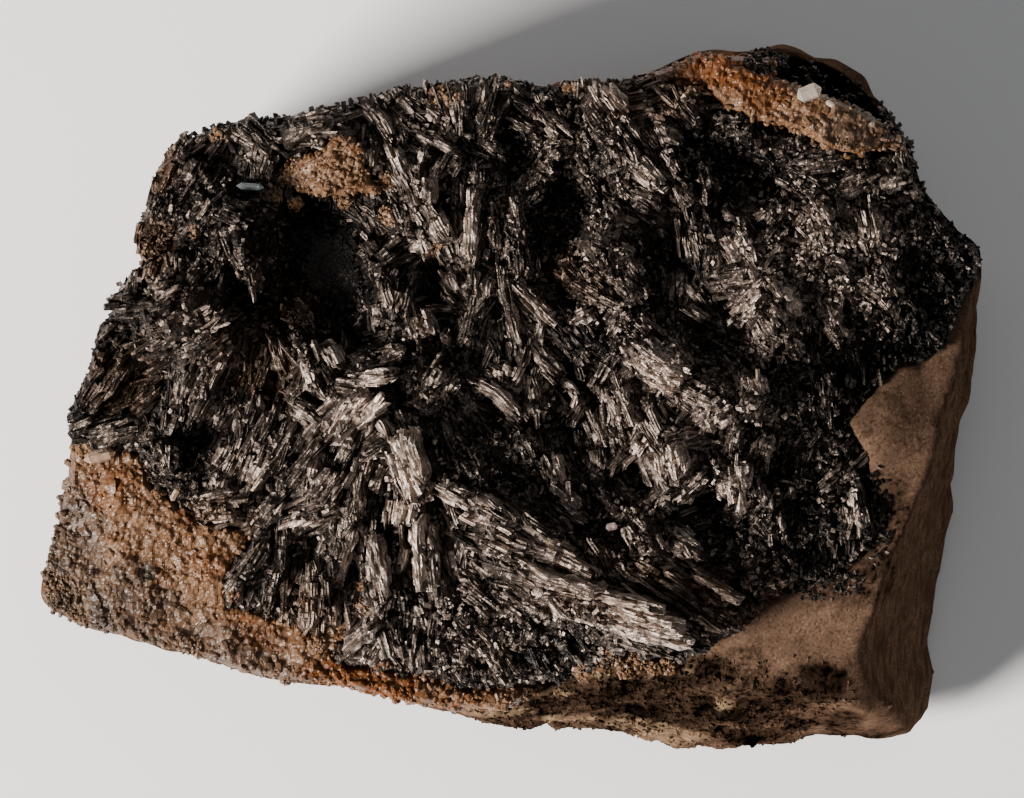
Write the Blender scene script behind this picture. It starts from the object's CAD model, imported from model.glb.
"""Looks of the betekhtinite crystal cluster: striated crystals, sugary quartz and sandstone.

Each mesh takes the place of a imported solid, or lies on one.

Places and sizes are in millimetres in the part's own frame, and every mesh is written in metres.
"""

import logging
import math
from collections.abc import Callable
from dataclasses import dataclass, field
from enum import Enum

import bmesh
import bpy
import numpy as np
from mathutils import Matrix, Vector
from mathutils.bvhtree import BVHTree


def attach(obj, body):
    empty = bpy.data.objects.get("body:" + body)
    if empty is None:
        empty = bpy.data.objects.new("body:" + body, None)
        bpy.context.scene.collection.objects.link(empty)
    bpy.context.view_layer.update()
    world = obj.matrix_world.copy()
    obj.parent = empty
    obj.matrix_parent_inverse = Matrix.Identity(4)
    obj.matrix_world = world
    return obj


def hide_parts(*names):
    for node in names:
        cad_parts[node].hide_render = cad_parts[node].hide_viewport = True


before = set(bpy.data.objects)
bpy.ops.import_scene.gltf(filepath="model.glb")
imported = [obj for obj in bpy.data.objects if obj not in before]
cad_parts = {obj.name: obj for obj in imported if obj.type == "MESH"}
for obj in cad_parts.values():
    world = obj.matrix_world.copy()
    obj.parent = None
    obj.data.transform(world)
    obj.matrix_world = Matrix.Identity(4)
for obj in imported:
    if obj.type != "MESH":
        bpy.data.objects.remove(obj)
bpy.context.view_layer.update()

log = logging.getLogger("betekhtinite_cluster")

Chance = np.random.Generator
Faces = list[tuple[int, ...]]
Material = bpy.types.Material
Piece = bpy.types.Object
Socket = bpy.types.NodeSocket
Triple = tuple[float, float, float]

MM = 0.001
BODY = "root"

CRYSTALS = "betekhtinite_crystals"
ROCK = "sandstone_matrix"
QUARTZ = ("quartz_shelf", "quartz_crust", "quartz_pocket")

LIGHT_HEADING = math.radians(207)
LIGHT_SIDE = np.array([math.cos(LIGHT_HEADING), math.sin(LIGHT_HEADING)])


class Glow(Enum):
    """How a bundle catches the light: the tilt of its top faces towards it in degrees, and how pale it is."""

    DARK = (-16.0, -0.30)
    PLAIN = (4.0, 0.0)
    LIT = (17.0, 0.25)
    BRIGHT = (26.0, 0.55)

    @property
    def tilt(self) -> float:
        """Tilt towards the light, in degrees."""
        return self.value[0]

    @property
    def tone(self) -> float:
        """Change of tone against the plain crystals."""
        return self.value[1]


class Habit(Enum):
    """How small crystals grow in a zone: share of loose directions, length and width in millimetres."""

    FIBROUS = (0.12, 3.2, 0.46)
    MASSIVE = (0.7, 1.1, 0.6)
    SPIKY = (0.45, 1.7, 0.42)
    CRUMBLY = (1.0, 1.05, 0.5)


@dataclass(frozen=True)
class Bundle:
    """Parallel laths that grew as one sheaf."""

    x: float
    y: float
    heading: float
    length: float
    width: float
    rise: float
    glow: Glow


@dataclass(frozen=True)
class Patch:
    """A round or oval area on the specimen, with a strength or a height."""

    x: float
    y: float
    rx: float
    ry: float
    amount: float

    def share(self, x: np.ndarray, y: np.ndarray) -> np.ndarray:
        """How strongly the patch covers each place.

        Args:
            x: places along the slab.
            y: places across the slab.

        Returns:
            amount in the middle, falling to nothing outside.
        """
        reach = ((x - self.x) / self.rx) ** 2 + ((y - self.y) / self.ry) ** 2
        return self.amount * np.clip(1.6 - 1.1 * reach, 0.0, 1.0)


Patches = tuple[Patch, ...]


def ovals(*rows: tuple[float, float, float, float, float]) -> Patches:
    """Patches from rows of x, y, half length, half width and amount."""
    return tuple(Patch(*row) for row in rows)


BRIGHT_BUNDLES = (
    (-31.2, 6.8, 25, 6.2, 3.4, 1.4), (-30.2, 2.3, 62, 6.4, 1.4, 2.2), (-28.6, -6.4, 61, 5.8, 2.6, 2),
    (-25.5, -7.4, 55, 3.2, 1.6, 1.8), (-24.5, -11.6, 48, 4, 1.5, 1.6), (-20.5, -11.8, 25, 4.9, 1.4, 2.2),
    (-21.4, 8, 124, 5.2, 1.7, 2), (-19.3, 3.6, 118, 4.6, 3.4, 1.8), (-10, 6.8, 112, 3, 3.8, 2.2),
    (-6.7, 5.6, 94, 3.2, 0.6, 2.2), (-4.2, 17.4, 88, 8.4, 1, 2), (-8.8, 20.4, 90, 3, 0.8, 2.4),
    (-15.2, -1.1, 43, 5.8, 2.4, 1.8), (-10.5, -6.3, 108, 7.4, 2.6, 1.8), (-13.6, -16.9, 95, 7.4, 1.3, 2.4),
    (-9.6, -15.3, 94, 8.2, 0.7, 2.6), (-11.1, -11.3, 81, 3.6, 1.2, 2), (-6.3, -9.4, 148, 4.6, 1.6, 2.4),
    (-2.4, -11.6, 150, 4.8, 2.8, 1.8), (3.2, -14.2, 151, 8, 1.2, 1.8), (8.6, -20.2, 166, 15, 2.2, 1.8),
    (10.8, -22.2, 165, 15, 2.4, 1.8), (4.6, -18.4, 160, 9.6, 1.3, 1.7), (19.8, -18.6, 152, 6.6, 0.8, 2.2),
    (-1.8, 0, 141, 6.4, 1, 2), (14.2, 3.2, 144, 6.8, 3, 1.6), (13.1, 22.1, 134, 4.4, 1.4, 2.2),
    (9.9, 29.5, 127, 3.8, 1.3, 2.2), (10.2, 18.2, 150, 3.7, 1, 2.2), (23.2, 9, 39, 4.2, 1.1, 2),
    (26, 10.8, 142, 3.2, 1, 2.4), (27.4, 9.2, 108, 2.4, 0.8, 2.4), (15.4, -6.2, 104, 3.4, 2.6, 1.9),
    (21.4, -8.2, 92, 4.6, 2.8, 2.2), (16.9, -8.8, 41, 6.2, 2, 2), (12.4, -4.9, 56, 2.4, 1, 2),
    (23.5, 1, 100, 3.4, 2.6, 2), (-12.2, 4.3, 14, 3.4, 1.3, 1.6), (-14.2, 2, 5, 5.6, 1.2, 2),
    (37.2, 21.3, 15, 3, 1, 1.2), (31.8, 7.8, 109, 5.8, 1.6, 1.8), (-5, -25.9, 130, 3.6, 1.6, 1),
    (1.1, -24, 49, 4.1, 0.7, 1.6), (-15.3, -23.7, 41, 5.2, 1.2, 1.6), (3.9, -7.4, 105, 4.5, 1.8, 1.8),
)
LIT_BUNDLES = (
    (-32.3, 22.4, 54, 5, 3.6, 1), (-24.8, 26, -45, 2.8, 2, 1), (-20, 27.3, 15, 4.6, 1.9, 1.6),
    (-33.6, 13.3, 101, 3.1, 1.7, 1.6), (-31.8, 12, 58, 3.7, 1.2, 1.4), (-37.4, 8.8, 5, 5, 1.2, 1.6),
    (-27.3, 13.6, 112, 3.6, 1, 2), (-25.8, 11.8, 97, 3.6, 0.9, 1.5), (-33, 1.3, 68, 5, 1, 1.6),
    (-39.6, 2, 51, 5.6, 1.3, 1.8), (-28.7, -1.4, 49, 4.5, 0.9, 1.4), (-35, -6.1, 100, 3.6, 2.4, 1.8),
    (-29.6, -10.8, 10, 4.8, 2.6, 0.9), (-25.8, -16.1, 51, 5.5, 1.5, 1.4), (-23.4, 4, 110, 4.6, 1.3, 1.8),
    (-14.2, 14.8, 130, 3.3, 1.3, 2), (-12.6, 10.5, 112, 3.4, 1, 1.6), (-6.3, 11, 119, 3.4, 1.1, 2),
    (-7.1, 8.85, 0, 3.8, 0.6, 2.2), (-8.7, 2.7, 60, 3.4, 3, 1.6), (-11.4, 23.3, 112, 3.9, 1.2, 1.9),
    (-10, 20, 110, 3.2, 1, 1.8), (-6.9, 25, 150, 4.2, 0.8, 1.8), (-2.7, 25.2, 137, 4.4, 1.5, 1.8),
    (-2, 16.6, 94, 4.6, 0.8, 1.6), (-2.6, 11.4, 84, 3, 0.8, 1.6), (-4.1, 11.7, 93, 3.6, 0.8, 2.2),
    (-0.5, 9.2, 102, 8.2, 1, 1.4), (1.1, 27.1, 153, 3.1, 1, 1.4), (3.5, 27.9, 138, 4.4, 1.1, 1.6),
    (1.4, 21.5, 55, 8.4, 1.4, 1.6), (9.2, 26.9, 118, 7, 2.1, 2.2), (15.1, 25.9, 128, 4.4, 0.9, 2),
    (16.1, 23.1, 134, 3.4, 1.6, 2.2), (17, 20, 112, 3, 1, 1.8), (19.5, 21.4, 95, 3.4, 1.2, 2),
    (18.8, 19.2, 60, 2.6, 1, 1.6), (11, 20.6, 115, 2.6, 0.8, 1.4), (21.6, 27, 10, 3.6, 1.7, 1.6),
    (8.1, 15.2, 137, 2.4, 1.2, 1.8), (10.6, 12.4, 132, 7.4, 3.6, 1.5), (6.4, 12, 123, 3.8, 1.5, 1.4),
    (7.1, 8.5, 30, 2.4, 1.3, 1), (12.7, 6.5, 143, 3.6, 2.4, 2), (9.8, 3.6, 50, 4.6, 0.9, 1.6),
    (10.6, -0.6, 100, 5, 2, 1.8), (16, 10.6, 85, 3.2, 2.4, 2.4), (18.4, 8.3, 148, 3.6, 0.9, 2),
    (22.3, 14.5, 117, 4.6, 2, 2), (25.3, 7.3, 120, 3.2, 3, 1.5), (27.8, 4.8, 117, 2.4, 1, 1.4),
    (2.2, 9.4, 137, 6.8, 0.8, 2), (3, 3.7, 129, 5.2, 1, 1.6), (13.7, -3, 122, 3.4, 1.3, 2.2),
    (21.5, -3.4, 80, 3.2, 1.7, 2.2), (24.6, -5.2, 70, 4, 1.8, 2), (25.5, -12.4, 95, 3.6, 2.8, 1.6),
    (22.6, -11.1, 23, 4, 1.3, 1.2), (27.5, -9.3, 50, 2.4, 1, 1.4), (31.4, -8.3, 42, 3.2, 1, 1.2),
    (34.3, -12, 95, 3, 2.2, 1), (28.2, -3.9, 65, 2.2, 0.7, 1.4), (-1.4, -15.1, 151, 5.2, 1.5, 1.8),
    (5, -16.3, 158, 8.6, 1.2, 1.7), (17, -14.8, 146, 4.4, 1.8, 2.4), (12.8, -13.6, 115, 3.6, 2.6, 1.8),
    (11.6, -9.9, 141, 5.6, 1.4, 1.8), (5.3, -10.3, 142, 3.2, 1.5, 1.6), (1.3, -4.7, 117, 2.6, 1, 2),
    (6.2, -1.5, 60, 3.4, 1, 1.6), (-15.4, -8.6, 76, 7, 1.5, 2.2), (-17, -15.5, 78, 7.6, 1.5, 2.2),
    (-12.3, -11, 82, 4.4, 0.9, 2.2), (-8.7, -16.1, 98, 7.2, 1.7, 2), (-6.8, -14.5, 97, 6.4, 1.9, 1.4),
    (-20.5, -20.2, 85, 6.6, 1.5, 1.4), (-18.5, -21.4, 80, 3.2, 2, 1.6), (-12.3, -24, 105, 4.2, 2.4, 1.2),
    (-10.2, -25.2, 88, 4.6, 0.9, 1.4), (-20.2, -7.4, 75, 2.8, 1.7, 2.2), (-18.4, -8.5, 55, 3.6, 2.4, 2.2),
    (-4.2, -23.6, 130, 4.8, 2.4, 1.2), (-1.6, -26.2, 120, 4.2, 2, 0.6), (-32.2, -4, 55, 2.4, 1.8, 1.2),
    (0.9, -21, 150, 5, 1.8, 1), (-40, -3.5, 20, 3.4, 1.8, 1.6), (33.4, 21.2, 20, 5, 1.8, 1),
)
PLAIN_BUNDLES = (
    (-34.8, 19.2, 75, 3.2, 1.8, 0.5), (-24.5, 23.3, 70, 3, 1.5, 0.6), (-35.8, 12.9, 75, 2.6, 1.2, 1),
    (-34.5, 10.9, 20, 2.8, 2, 1.8), (-30.6, 18.2, 45, 4.2, 2.2, 1.8), (-27.5, 18.6, -20, 3.6, 1.8, 1.8),
    (-29.6, 13.6, 80, 4, 2, 0.8), (-34.5, 5.2, 30, 4.8, 2, 1.4), (-30.2, 5.2, 40, 4, 3, 1.2),
    (-36.3, 0, 43, 4.4, 1.2, 1.2), (-33.5, -0.6, 80, 3.6, 2.2, 1.2), (-31, -0.6, 62, 3.6, 1, 1.4),
    (-28.2, 2.5, 72, 6.5, 2.6, 0.6), (-25.8, 2, 70, 6.5, 2.2, 0.4), (-26.9, -2.7, 92, 3.2, 0.9, 1.6),
    (-25.8, -1.7, 70, 2.6, 0.9, 1.4), (-24.6, -3.6, 68, 5, 2.4, 0.8), (-22.6, -4.6, 60, 6, 2.2, 0.8),
    (-23.2, -15.4, 82, 5.8, 1, 1.6), (-21, 2.2, 60, 3.4, 1.8, 1.4), (-18.3, 10.6, 55, 4, 1.6, 0.6),
    (-20.5, -1.2, 150, 4.6, 1.6, 1.6), (-11.2, 9.8, 75, 4, 1.8, 1.6), (-12.3, 14.5, 38, 2.4, 1.2, 1.8),
    (-4.2, 6.8, 75, 3.6, 1.4, 2), (-6.2, 1.2, 60, 3.4, 1.6, 1.6), (-5.6, 18.6, 84, 6, 1.6, 1),
    (-3.3, 22.2, 86, 2.6, 0.9, 1.6), (-2.4, 19.1, 103, 2.8, 0.8, 1.6), (0.2, 16, 98, 8, 1.6, 1.6),
    (-14.7, 24, 86, 5, 1, 1.4), (-12.8, 27.3, 122, 4.4, 1, 1.8), (-13.8, 24.8, 90, 4.4, 0.6, 1.6),
    (-7.2, 17, 120, 4, 1.4, 1.6), (-6.8, 22.6, 60, 3.6, 2.4, 1.2), (-2.4, 27.8, 70, 3, 2, 1.6),
    (-5.2, 28.6, 95, 3.6, 1.4, 1.2), (4.4, 24.8, 20, 2.6, 1.8, 1.8), (3.2, 16, 100, 4, 1.4, 1.2),
    (10.4, 24.4, 100, 3.4, 2, 1.6), (12.4, 25.4, 125, 5, 1.2, 1.4), (8, 21, 125, 3, 1.2, 1.4),
    (13.2, 20, 145, 4, 2, 1.6), (17.4, 28.2, 130, 4.4, 1.4, 1), (12.4, 28.6, 15, 3, 1.6, 1.4),
    (13.4, 25.6, 135, 3.2, 1, 1.6), (24.6, 24.6, 150, 4.4, 2.2, 1.6), (27.6, 24.8, 20, 4, 1.4, 1.2),
    (21.8, 18.7, 125, 2.6, 1.2, 1.6), (8.2, 11, 140, 4, 2.4, 1.6), (9.6, 16.8, 60, 3, 1.8, 2),
    (12.2, 4.4, 100, 3.6, 1.6, 1.8), (18.2, 0.8, 150, 4.6, 2.6, 1.8), (19.8, 8.9, 130, 3.2, 1, 2),
    (18.4, 15.4, 100, 4.8, 3.2, 1.8), (22, 12.4, 10, 3, 1.6, 1.8), (28.6, 8, 93, 6, 2.2, 1.4),
    (33.6, 4.2, 92, 5, 1.8, 0.6), (32.4, 12.2, 120, 4, 1.6, 1.2), (36, 11.2, 130, 4, 2.8, 0.8),
    (30.4, 17, 130, 5, 3.2, 1.2), (34.6, 17, 100, 5, 3.4, 1), (29, 21.4, 150, 4.6, 2.4, 1.4),
    (30.6, 23.6, 10, 5, 1.8, 1), (26.2, 18.6, 30, 3.6, 1.6, 1.4), (26, 15.6, 40, 3, 1.6, 1.4),
    (38, 22.8, 95, 3, 2.6, 0.8), (41, 17.6, 110, 5, 3.4, 0.4), (42.6, 12.6, 120, 5, 3.4, 0.3),
    (39.6, 8, 110, 4.6, 2.6, 0.3), (1.2, 4.4, 75, 3, 1.2, 1.4), (1.9, 0.5, 95, 2.4, 1.3, 1.6),
    (9, -2.8, 105, 4, 1.6, 1.4), (20.2, -1.4, 30, 4, 2.2, 1.8), (24.2, -9, 100, 4, 1.2, 1.6),
    (28.6, -5.2, 65, 5, 2.4, 0.8), (28.8, -8.2, 165, 2.6, 1, 1.4), (18, -4.2, 5, 4, 1.4, 1.8),
    (30.8, 0.6, 100, 5, 3, 0.4), (2.4, -12.6, 145, 4.2, 1, 1.8), (8.4, -16.2, 125, 3.2, 1.2, 2.2),
    (14.6, -12.4, 95, 2.6, 1.4, 1.6), (-4.2, -7.2, 110, 3, 2.2, 1.6), (-4.9, -0.6, 130, 4.4, 2.4, 0.8),
    (-6.4, -5.2, 112, 3.8, 0.7, 1.6), (23.4, -16.2, 72, 3.6, 1.6, 1.4), (13.6, -24.4, 160, 7, 1.4, 1.4),
    (-13.2, -7.7, 64, 3.6, 0.8, 1.6), (-19.2, -3.2, 52, 5.6, 2, 1.4), (-16.4, -5.2, 60, 4, 1.2, 1.4),
    (-13.4, -4.6, 30, 3.4, 1.6, 1.8), (-20.1, -5.6, 48, 8.4, 0.8, 1.6), (-14.2, -25.2, 60, 3.6, 2.2, 0.8),
    (-8.8, -25.2, 90, 2.8, 1.2, 1.3), (-8.9, -20.8, 115, 2.6, 1.1, 1.8), (-3.4, -19.8, 140, 4.6, 2, 1.4),
    (-6.6, -19.6, 110, 4, 2, 1.6), (-7.6, -24, 85, 4, 1.6, 1), (-19.8, -18.8, 88, 2.6, 0.9, 1.6),
    (-18.6, -19, 90, 4, 0.8, 1.4),
)
DARK_BUNDLES = (
    (-34.5, 8, 20, 4, 2.4, 0.8), (-11.6, -16.6, 90, 7.6, 2.6, 1), (16.2, -18.4, 150, 13, 3.4, 1.2),
    (6.8, 5.8, 128, 6.4, 3.2, 0.8), (7, -8.2, 113, 7.2, 2.4, 1), (29, 7, 94, 8, 2.6, 1),
    (3.4, -25.2, 120, 4.4, 2.8, 0.5), (6.6, -24.2, 125, 4.8, 2.8, 0.5), (20.4, -20.8, 155, 6, 1.8, 0.9),
    (36, 14, 110, 5, 3.6, 0.6), (41, 11.6, 120, 5, 3, 0.3), (-17.6, 8, 70, 4, 2.4, 0.4),
    (-22, 14, 80, 5, 3, 0.4), (4.2, 20, 95, 5, 1.8, 0.4), (33.2, 24, 12, 4, 1.6, 0.6),
)
"""The sheaves by how they catch the light: x, y, heading in degrees, length, width and rise."""

HABIT_ZONES = tuple((Patch(x, y, rx, ry, 1.0), habit) for x, y, rx, ry, habit in (
    (-29, 17, 6, 5, Habit.MASSIVE), (-21, 12, 7, 8, Habit.MASSIVE), (-34, 9, 4, 5, Habit.MASSIVE),
    (31, 23, 7, 3, Habit.MASSIVE), (33, 15, 10, 12, Habit.CRUMBLY), (41, 10, 7, 9, Habit.CRUMBLY),
    (-34, -8, 5, 5, Habit.CRUMBLY), (-3, -24.5, 6.5, 5, Habit.CRUMBLY), (10, 13, 6, 6, Habit.CRUMBLY),
    (14, 4, 6, 5, Habit.SPIKY), (26, -2, 8, 14, Habit.SPIKY), (22, 24, 8, 6, Habit.CRUMBLY),
    (-30, 17, 7, 6, Habit.CRUMBLY), (-9, 3, 5, 5, Habit.SPIKY), (4, 20, 9, 12, Habit.SPIKY),
    (-20, 13, 8, 7, Habit.CRUMBLY), (12, -13, 5, 3, Habit.CRUMBLY), (4, -24, 6, 4, Habit.CRUMBLY),
    (-1, -7, 5, 4, Habit.SPIKY), (24, -15, 6, 5, Habit.CRUMBLY),
))
"""Where the small crystals don't simply follow the sheaves: x, y, half length, half width and habit."""

HEAVES = ovals(
    (-19, 13, 5, 7.4, -1.7), (-9.2, 11.6, 2.2, 2.2, -1.4), (-40.1, 2.7, 2.6, 5, -0.9),
    (-30.1, -4.6, 4, 3, -1.1), (-23.4, 1.2, 1.8, 3, -0.8), (4.9, 16, 2.4, 6.4, -1.3),
    (15.4, 12.4, 2.6, 4.2, -1.3), (25.4, 22.4, 5, 2.6, -1), (19.6, 20.4, 2, 2.4, -0.6),
    (9, 2.1, 3, 2.4, -1), (4, -4.4, 3.8, 2.8, -1), (1.2, -7.9, 3, 1.5, -1.1), (8.8, -13.4, 3.4, 1.4, -1.1),
    (19.9, -19.8, 4, 1.5, -1), (11.2, -8.2, 2, 2, -1), (19.6, -11.2, 2.4, 2, -1), (29, -9.4, 4.4, 7, -0.7),
    (31, 5, 3.4, 4.4, -0.7), (42.4, 15, 3.6, 6.2, -0.7), (1, 25.6, 3, 3, -0.8), (20, 25.8, 2.4, 2, -0.5),
    (4.4, -25.4, 5, 2, -0.4), (-28.6, 21.6, 3.4, 1.6, -0.5), (-13, -14, 1.4, 5, -0.8),
    (43, 10.6, 4, 3, -0.7), (38, 5, 4, 3, -1.3), (35.4, -2, 2.6, 4, -1.2), (36.6, -10, 2, 5, -1.2),
    (32.6, -16.6, 4, 2.6, -1.2), (26, -21, 4, 2.4, -0.8), (-15.7, -0.6, 2.4, 4, 1.1),
    (-11.6, -5.2, 2, 3, 1.3), (-1.2, -13.2, 4.4, 2.4, 0.9), (11, -21.8, 6.4, 2.8, 1),
    (14.3, 4.4, 3.2, 2, 1.1), (21.2, 0.8, 3, 2.6, 1), (8.8, 14.9, 2.2, 3.2, 0.9), (21, 12.2, 3, 2.4, 0.8),
    (33.4, 14.4, 5, 4.4, 0.9), (26.6, 11, 2.8, 3, 0.8), (15.5, -6.8, 2.6, 1.8, 1),
    (22.2, -7.8, 2.2, 2, 0.9), (15.6, -14.6, 3.2, 1.4, 1), (-9, 16.8, 2, 2.2, 0.8),
    (-9, 23.2, 2.6, 2, 0.7), (-26.2, 15.6, 2, 3.2, 0.8), (-33.4, 7.8, 3, 5, 0.7),
    (-21.2, 2.9, 1.4, 3, 0.8), (-19, -10.2, 2.8, 2.2, 0.8), (-10, -13, 2, 3.6, 0.7),
    (-4.4, 7.8, 2.2, 2.4, 0.5),
)
"""Where the growth is heaped up into ridges that face the light, or sinks into dark hollows."""

TONES = ovals(
    (-30, 12, 16, 16, -0.1), (33, 13, 12, 9, 0.22), (19, 0, 8, 6, 0.14), (-38, 4, 4, 6, -0.1),
    (4, 20, 9, 9, 0.04), (-1, -24, 7, 4, 0.08), (42.8, 8, 4.6, 10, -0.4), (36, 3.6, 5, 3, -0.2),
    (-20, 13, 5, 6, 0.08),
)
"""Where the crystals as a whole are paler or darker."""

RUST_PATCHES = ovals(
    (-36, 15, 2.4, 3, 0.8), (-34.8, 23, 1.6, 2.6, 0.9), (-30, -12, 5, 2.4, 0.6), (-20, -22, 4, 4, 0.5),
    (14, 30, 5, 2.6, 0.6), (-26, 4, 5, 4, 0.45), (-22, 9, 3, 4, 0.4), (-39, 2, 4, 4, 0.4),
    (12, -18, 9, 4, 0.35), (6, 12, 3, 3, 0.4), (22, -20, 6, 4, 0.5), (-31, 8, 4, 3, 0.35),
)
IRON_STAINS = ovals(
    (21.4, 33, 4.4, 2.6, 1), (25, 31, 2.6, 2.8, 0.8), (17.6, 33, 2, 1.6, 0.4),
    (-16.2, -27.2, 4.6, 1.5, 0.95), (-11.4, -28.9, 3.6, 1.3, 0.8), (-39.4, -9.2, 2.8, 2.4, 0.4),
    (-29.9, -16.4, 2.2, 2, 0.45), (-31, -12.6, 4, 1.6, 0.28), (-24, -23, 4, 2, 0.4),
    (-5, -29.6, 4, 1.2, 0.4),
)
GREY_RIM = ovals(
    (-44, -15, 3.6, 8, 0.8), (-40, -21, 8, 2.6, 0.9), (-30, -24.6, 8, 2.4, 0.8),
    (-37.8, -17.3, 2.2, 1.4, 1), (-22, -27.4, 4, 1.2, 0.6), (36, 27, 5, 3, 0.5),
)

RIM_PULL = 0.996
"""How far the grains on the quartz's outer edge are drawn in towards the slab's middle."""

WALL_ROWS = 4
WALL_ROUGHNESS = 0.4
WALL_RECESS = 0.12
"""The walls under the rims: rows of faces, how far they wander and how far they stand back."""

SEAT = 26.2
LOWEST_GRAIN = 26.5
LOWEST_BED = 26.6
"""Heights of the seat in the rock, of the lowest crumb or grain and of the lowest part of the bed."""

QUARTZ_SPECKS = (
    (-45.5, -20.1, 1.5), (-45.9, -17.8, 1.1), (-43.4, -21.8, 1.2), (-44.6, -18.6, 1.4),
    (-12.4, 21.75, 0.9), (-12.4, 18.2, 1.1), (-8.3, 15.1, 1.2), (-6.7, 29.9, 1.6), (-29.2, 26.1, 0.9),
    (6, 31.2, 0.9), (-31.9, 16.5, 0.6), (-14.6, -20.8, 1.1), (-15, -18.7, 0.6), (10.2, -25.6, 0.9),
    (12.6, -26.2, 1.1), (15.6, -26.6, 0.9), (6.7, -26.8, 0.6), (-23.6, 20.2, 0.9), (-21.6, 19.4, 0.7),
    (9, -26.6, 0.8), (7.2, -27.4, 0.8), (11.4, -27, 0.9), (14.2, -26.9, 0.7), (-12.9, 16.6, 0.5),
    (33.4, 25.2, 0.8), (-16.6, 19.6, 0.7), (18, 30.6, 0.9), (-27.6, -19.4, 0.8), (-19.4, -24.4, 0.9),
    (-13, -26.6, 0.8), (-35.2, -9.2, 0.6), (2, -28.8, 0.8), (-0.4, 31.6, 0.5),
)
"""Small knots of quartz grains between the crystals: x, y, radius."""


def heave(x: np.ndarray, y: np.ndarray) -> np.ndarray:
    """How far the growth stands above or below its plain level.

    Args:
        x: places along the slab.
        y: places across the slab.

    Returns:
        millimetres, below nought in the hollows.
    """
    return np.clip(sum(patch.share(x, y) for patch in HEAVES), -1.8, 1.5)


def hashed(ix: np.ndarray, iy: np.ndarray, iz: np.ndarray, seed: int) -> np.ndarray:
    """Random values that depend only on whole-numbered places.

    Args:
        ix: whole numbers along x.
        iy: whole numbers along y.
        iz: whole numbers along z.
        seed: which set of random values.

    Returns:
        values from -1 to 1.
    """
    mixed = ix.astype(np.uint32) * np.uint32(374761393) + iy.astype(np.uint32) * np.uint32(668265263)
    mixed += iz.astype(np.uint32) * np.uint32(2246822519) + np.uint32(seed * 3266489 + 11)
    mixed ^= mixed >> np.uint32(13)
    mixed *= np.uint32(1274126177)
    mixed ^= mixed >> np.uint32(16)
    return mixed.astype(np.float64) / 2147483648.0 - 1.0


def roughness(points: np.ndarray, size: float, octaves: int, seed: int) -> np.ndarray:
    """Smooth random relief with finer relief on it.

    Args:
        points: places, three numbers each.
        size: how far apart the largest bumps are.
        octaves: how many times the relief is repeated at half the size.
        seed: which relief.

    Returns:
        one value from about -1 to 1 for each place.
    """
    total = np.zeros(len(points))
    weight = 1.0
    for octave in range(octaves):
        place = points * (2**octave / size)
        base = np.floor(place)
        part = place - base
        part = part * part * (3.0 - 2.0 * part)
        cell = base.astype(np.int64)
        value = np.zeros(len(points))
        for corner in range(8):
            dx, dy, dz = corner & 1, corner >> 1 & 1, corner >> 2 & 1
            share = (part[:, 0] if dx else 1 - part[:, 0]) * (part[:, 1] if dy else 1 - part[:, 1])
            share = share * (part[:, 2] if dz else 1 - part[:, 2])
            value += share * hashed(cell[:, 0] + dx, cell[:, 1] + dy, cell[:, 2] + dz, seed + octave)
        total += value * weight
        weight *= 0.55
    return total


def blurred(values: np.ndarray, radius: int) -> np.ndarray:
    """A height map averaged over a square, ignoring the places with no height.

    Args:
        values: heights, nan where there is none.
        radius: half the square's side, in cells.

    Returns:
        the averaged heights, with a height wherever one was near.
    """
    known = np.isfinite(values)
    total = np.where(known, values, 0.0)
    count = known.astype(float)
    for axis in (0, 1):
        total = sum(np.roll(total, shift, axis) for shift in range(-radius, radius + 1))
        count = sum(np.roll(count, shift, axis) for shift in range(-radius, radius + 1))
    return np.where(count > 0, total / np.maximum(count, 1e-9), np.nan)


def places_of(mesh: bpy.types.Mesh) -> np.ndarray:
    """The places of a mesh's points, in millimetres."""
    places = np.empty(len(mesh.vertices) * 3)
    mesh.vertices.foreach_get("co", places)
    return places.reshape(-1, 3) / MM


def tree_of(mesh: bpy.types.Mesh) -> BVHTree:
    """A mesh that rays can be cast at."""
    return BVHTree.FromPolygons([v.co for v in mesh.vertices], [tuple(p.vertices) for p in mesh.polygons])


def strongest(patches: Patches, places: np.ndarray) -> np.ndarray:
    """How strong the strongest patch is at each place, nought where there is none."""
    found = np.zeros(len(places))
    for patch in patches:
        found = np.maximum(found, patch.share(places[:, 0], places[:, 1]))
    return found


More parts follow.
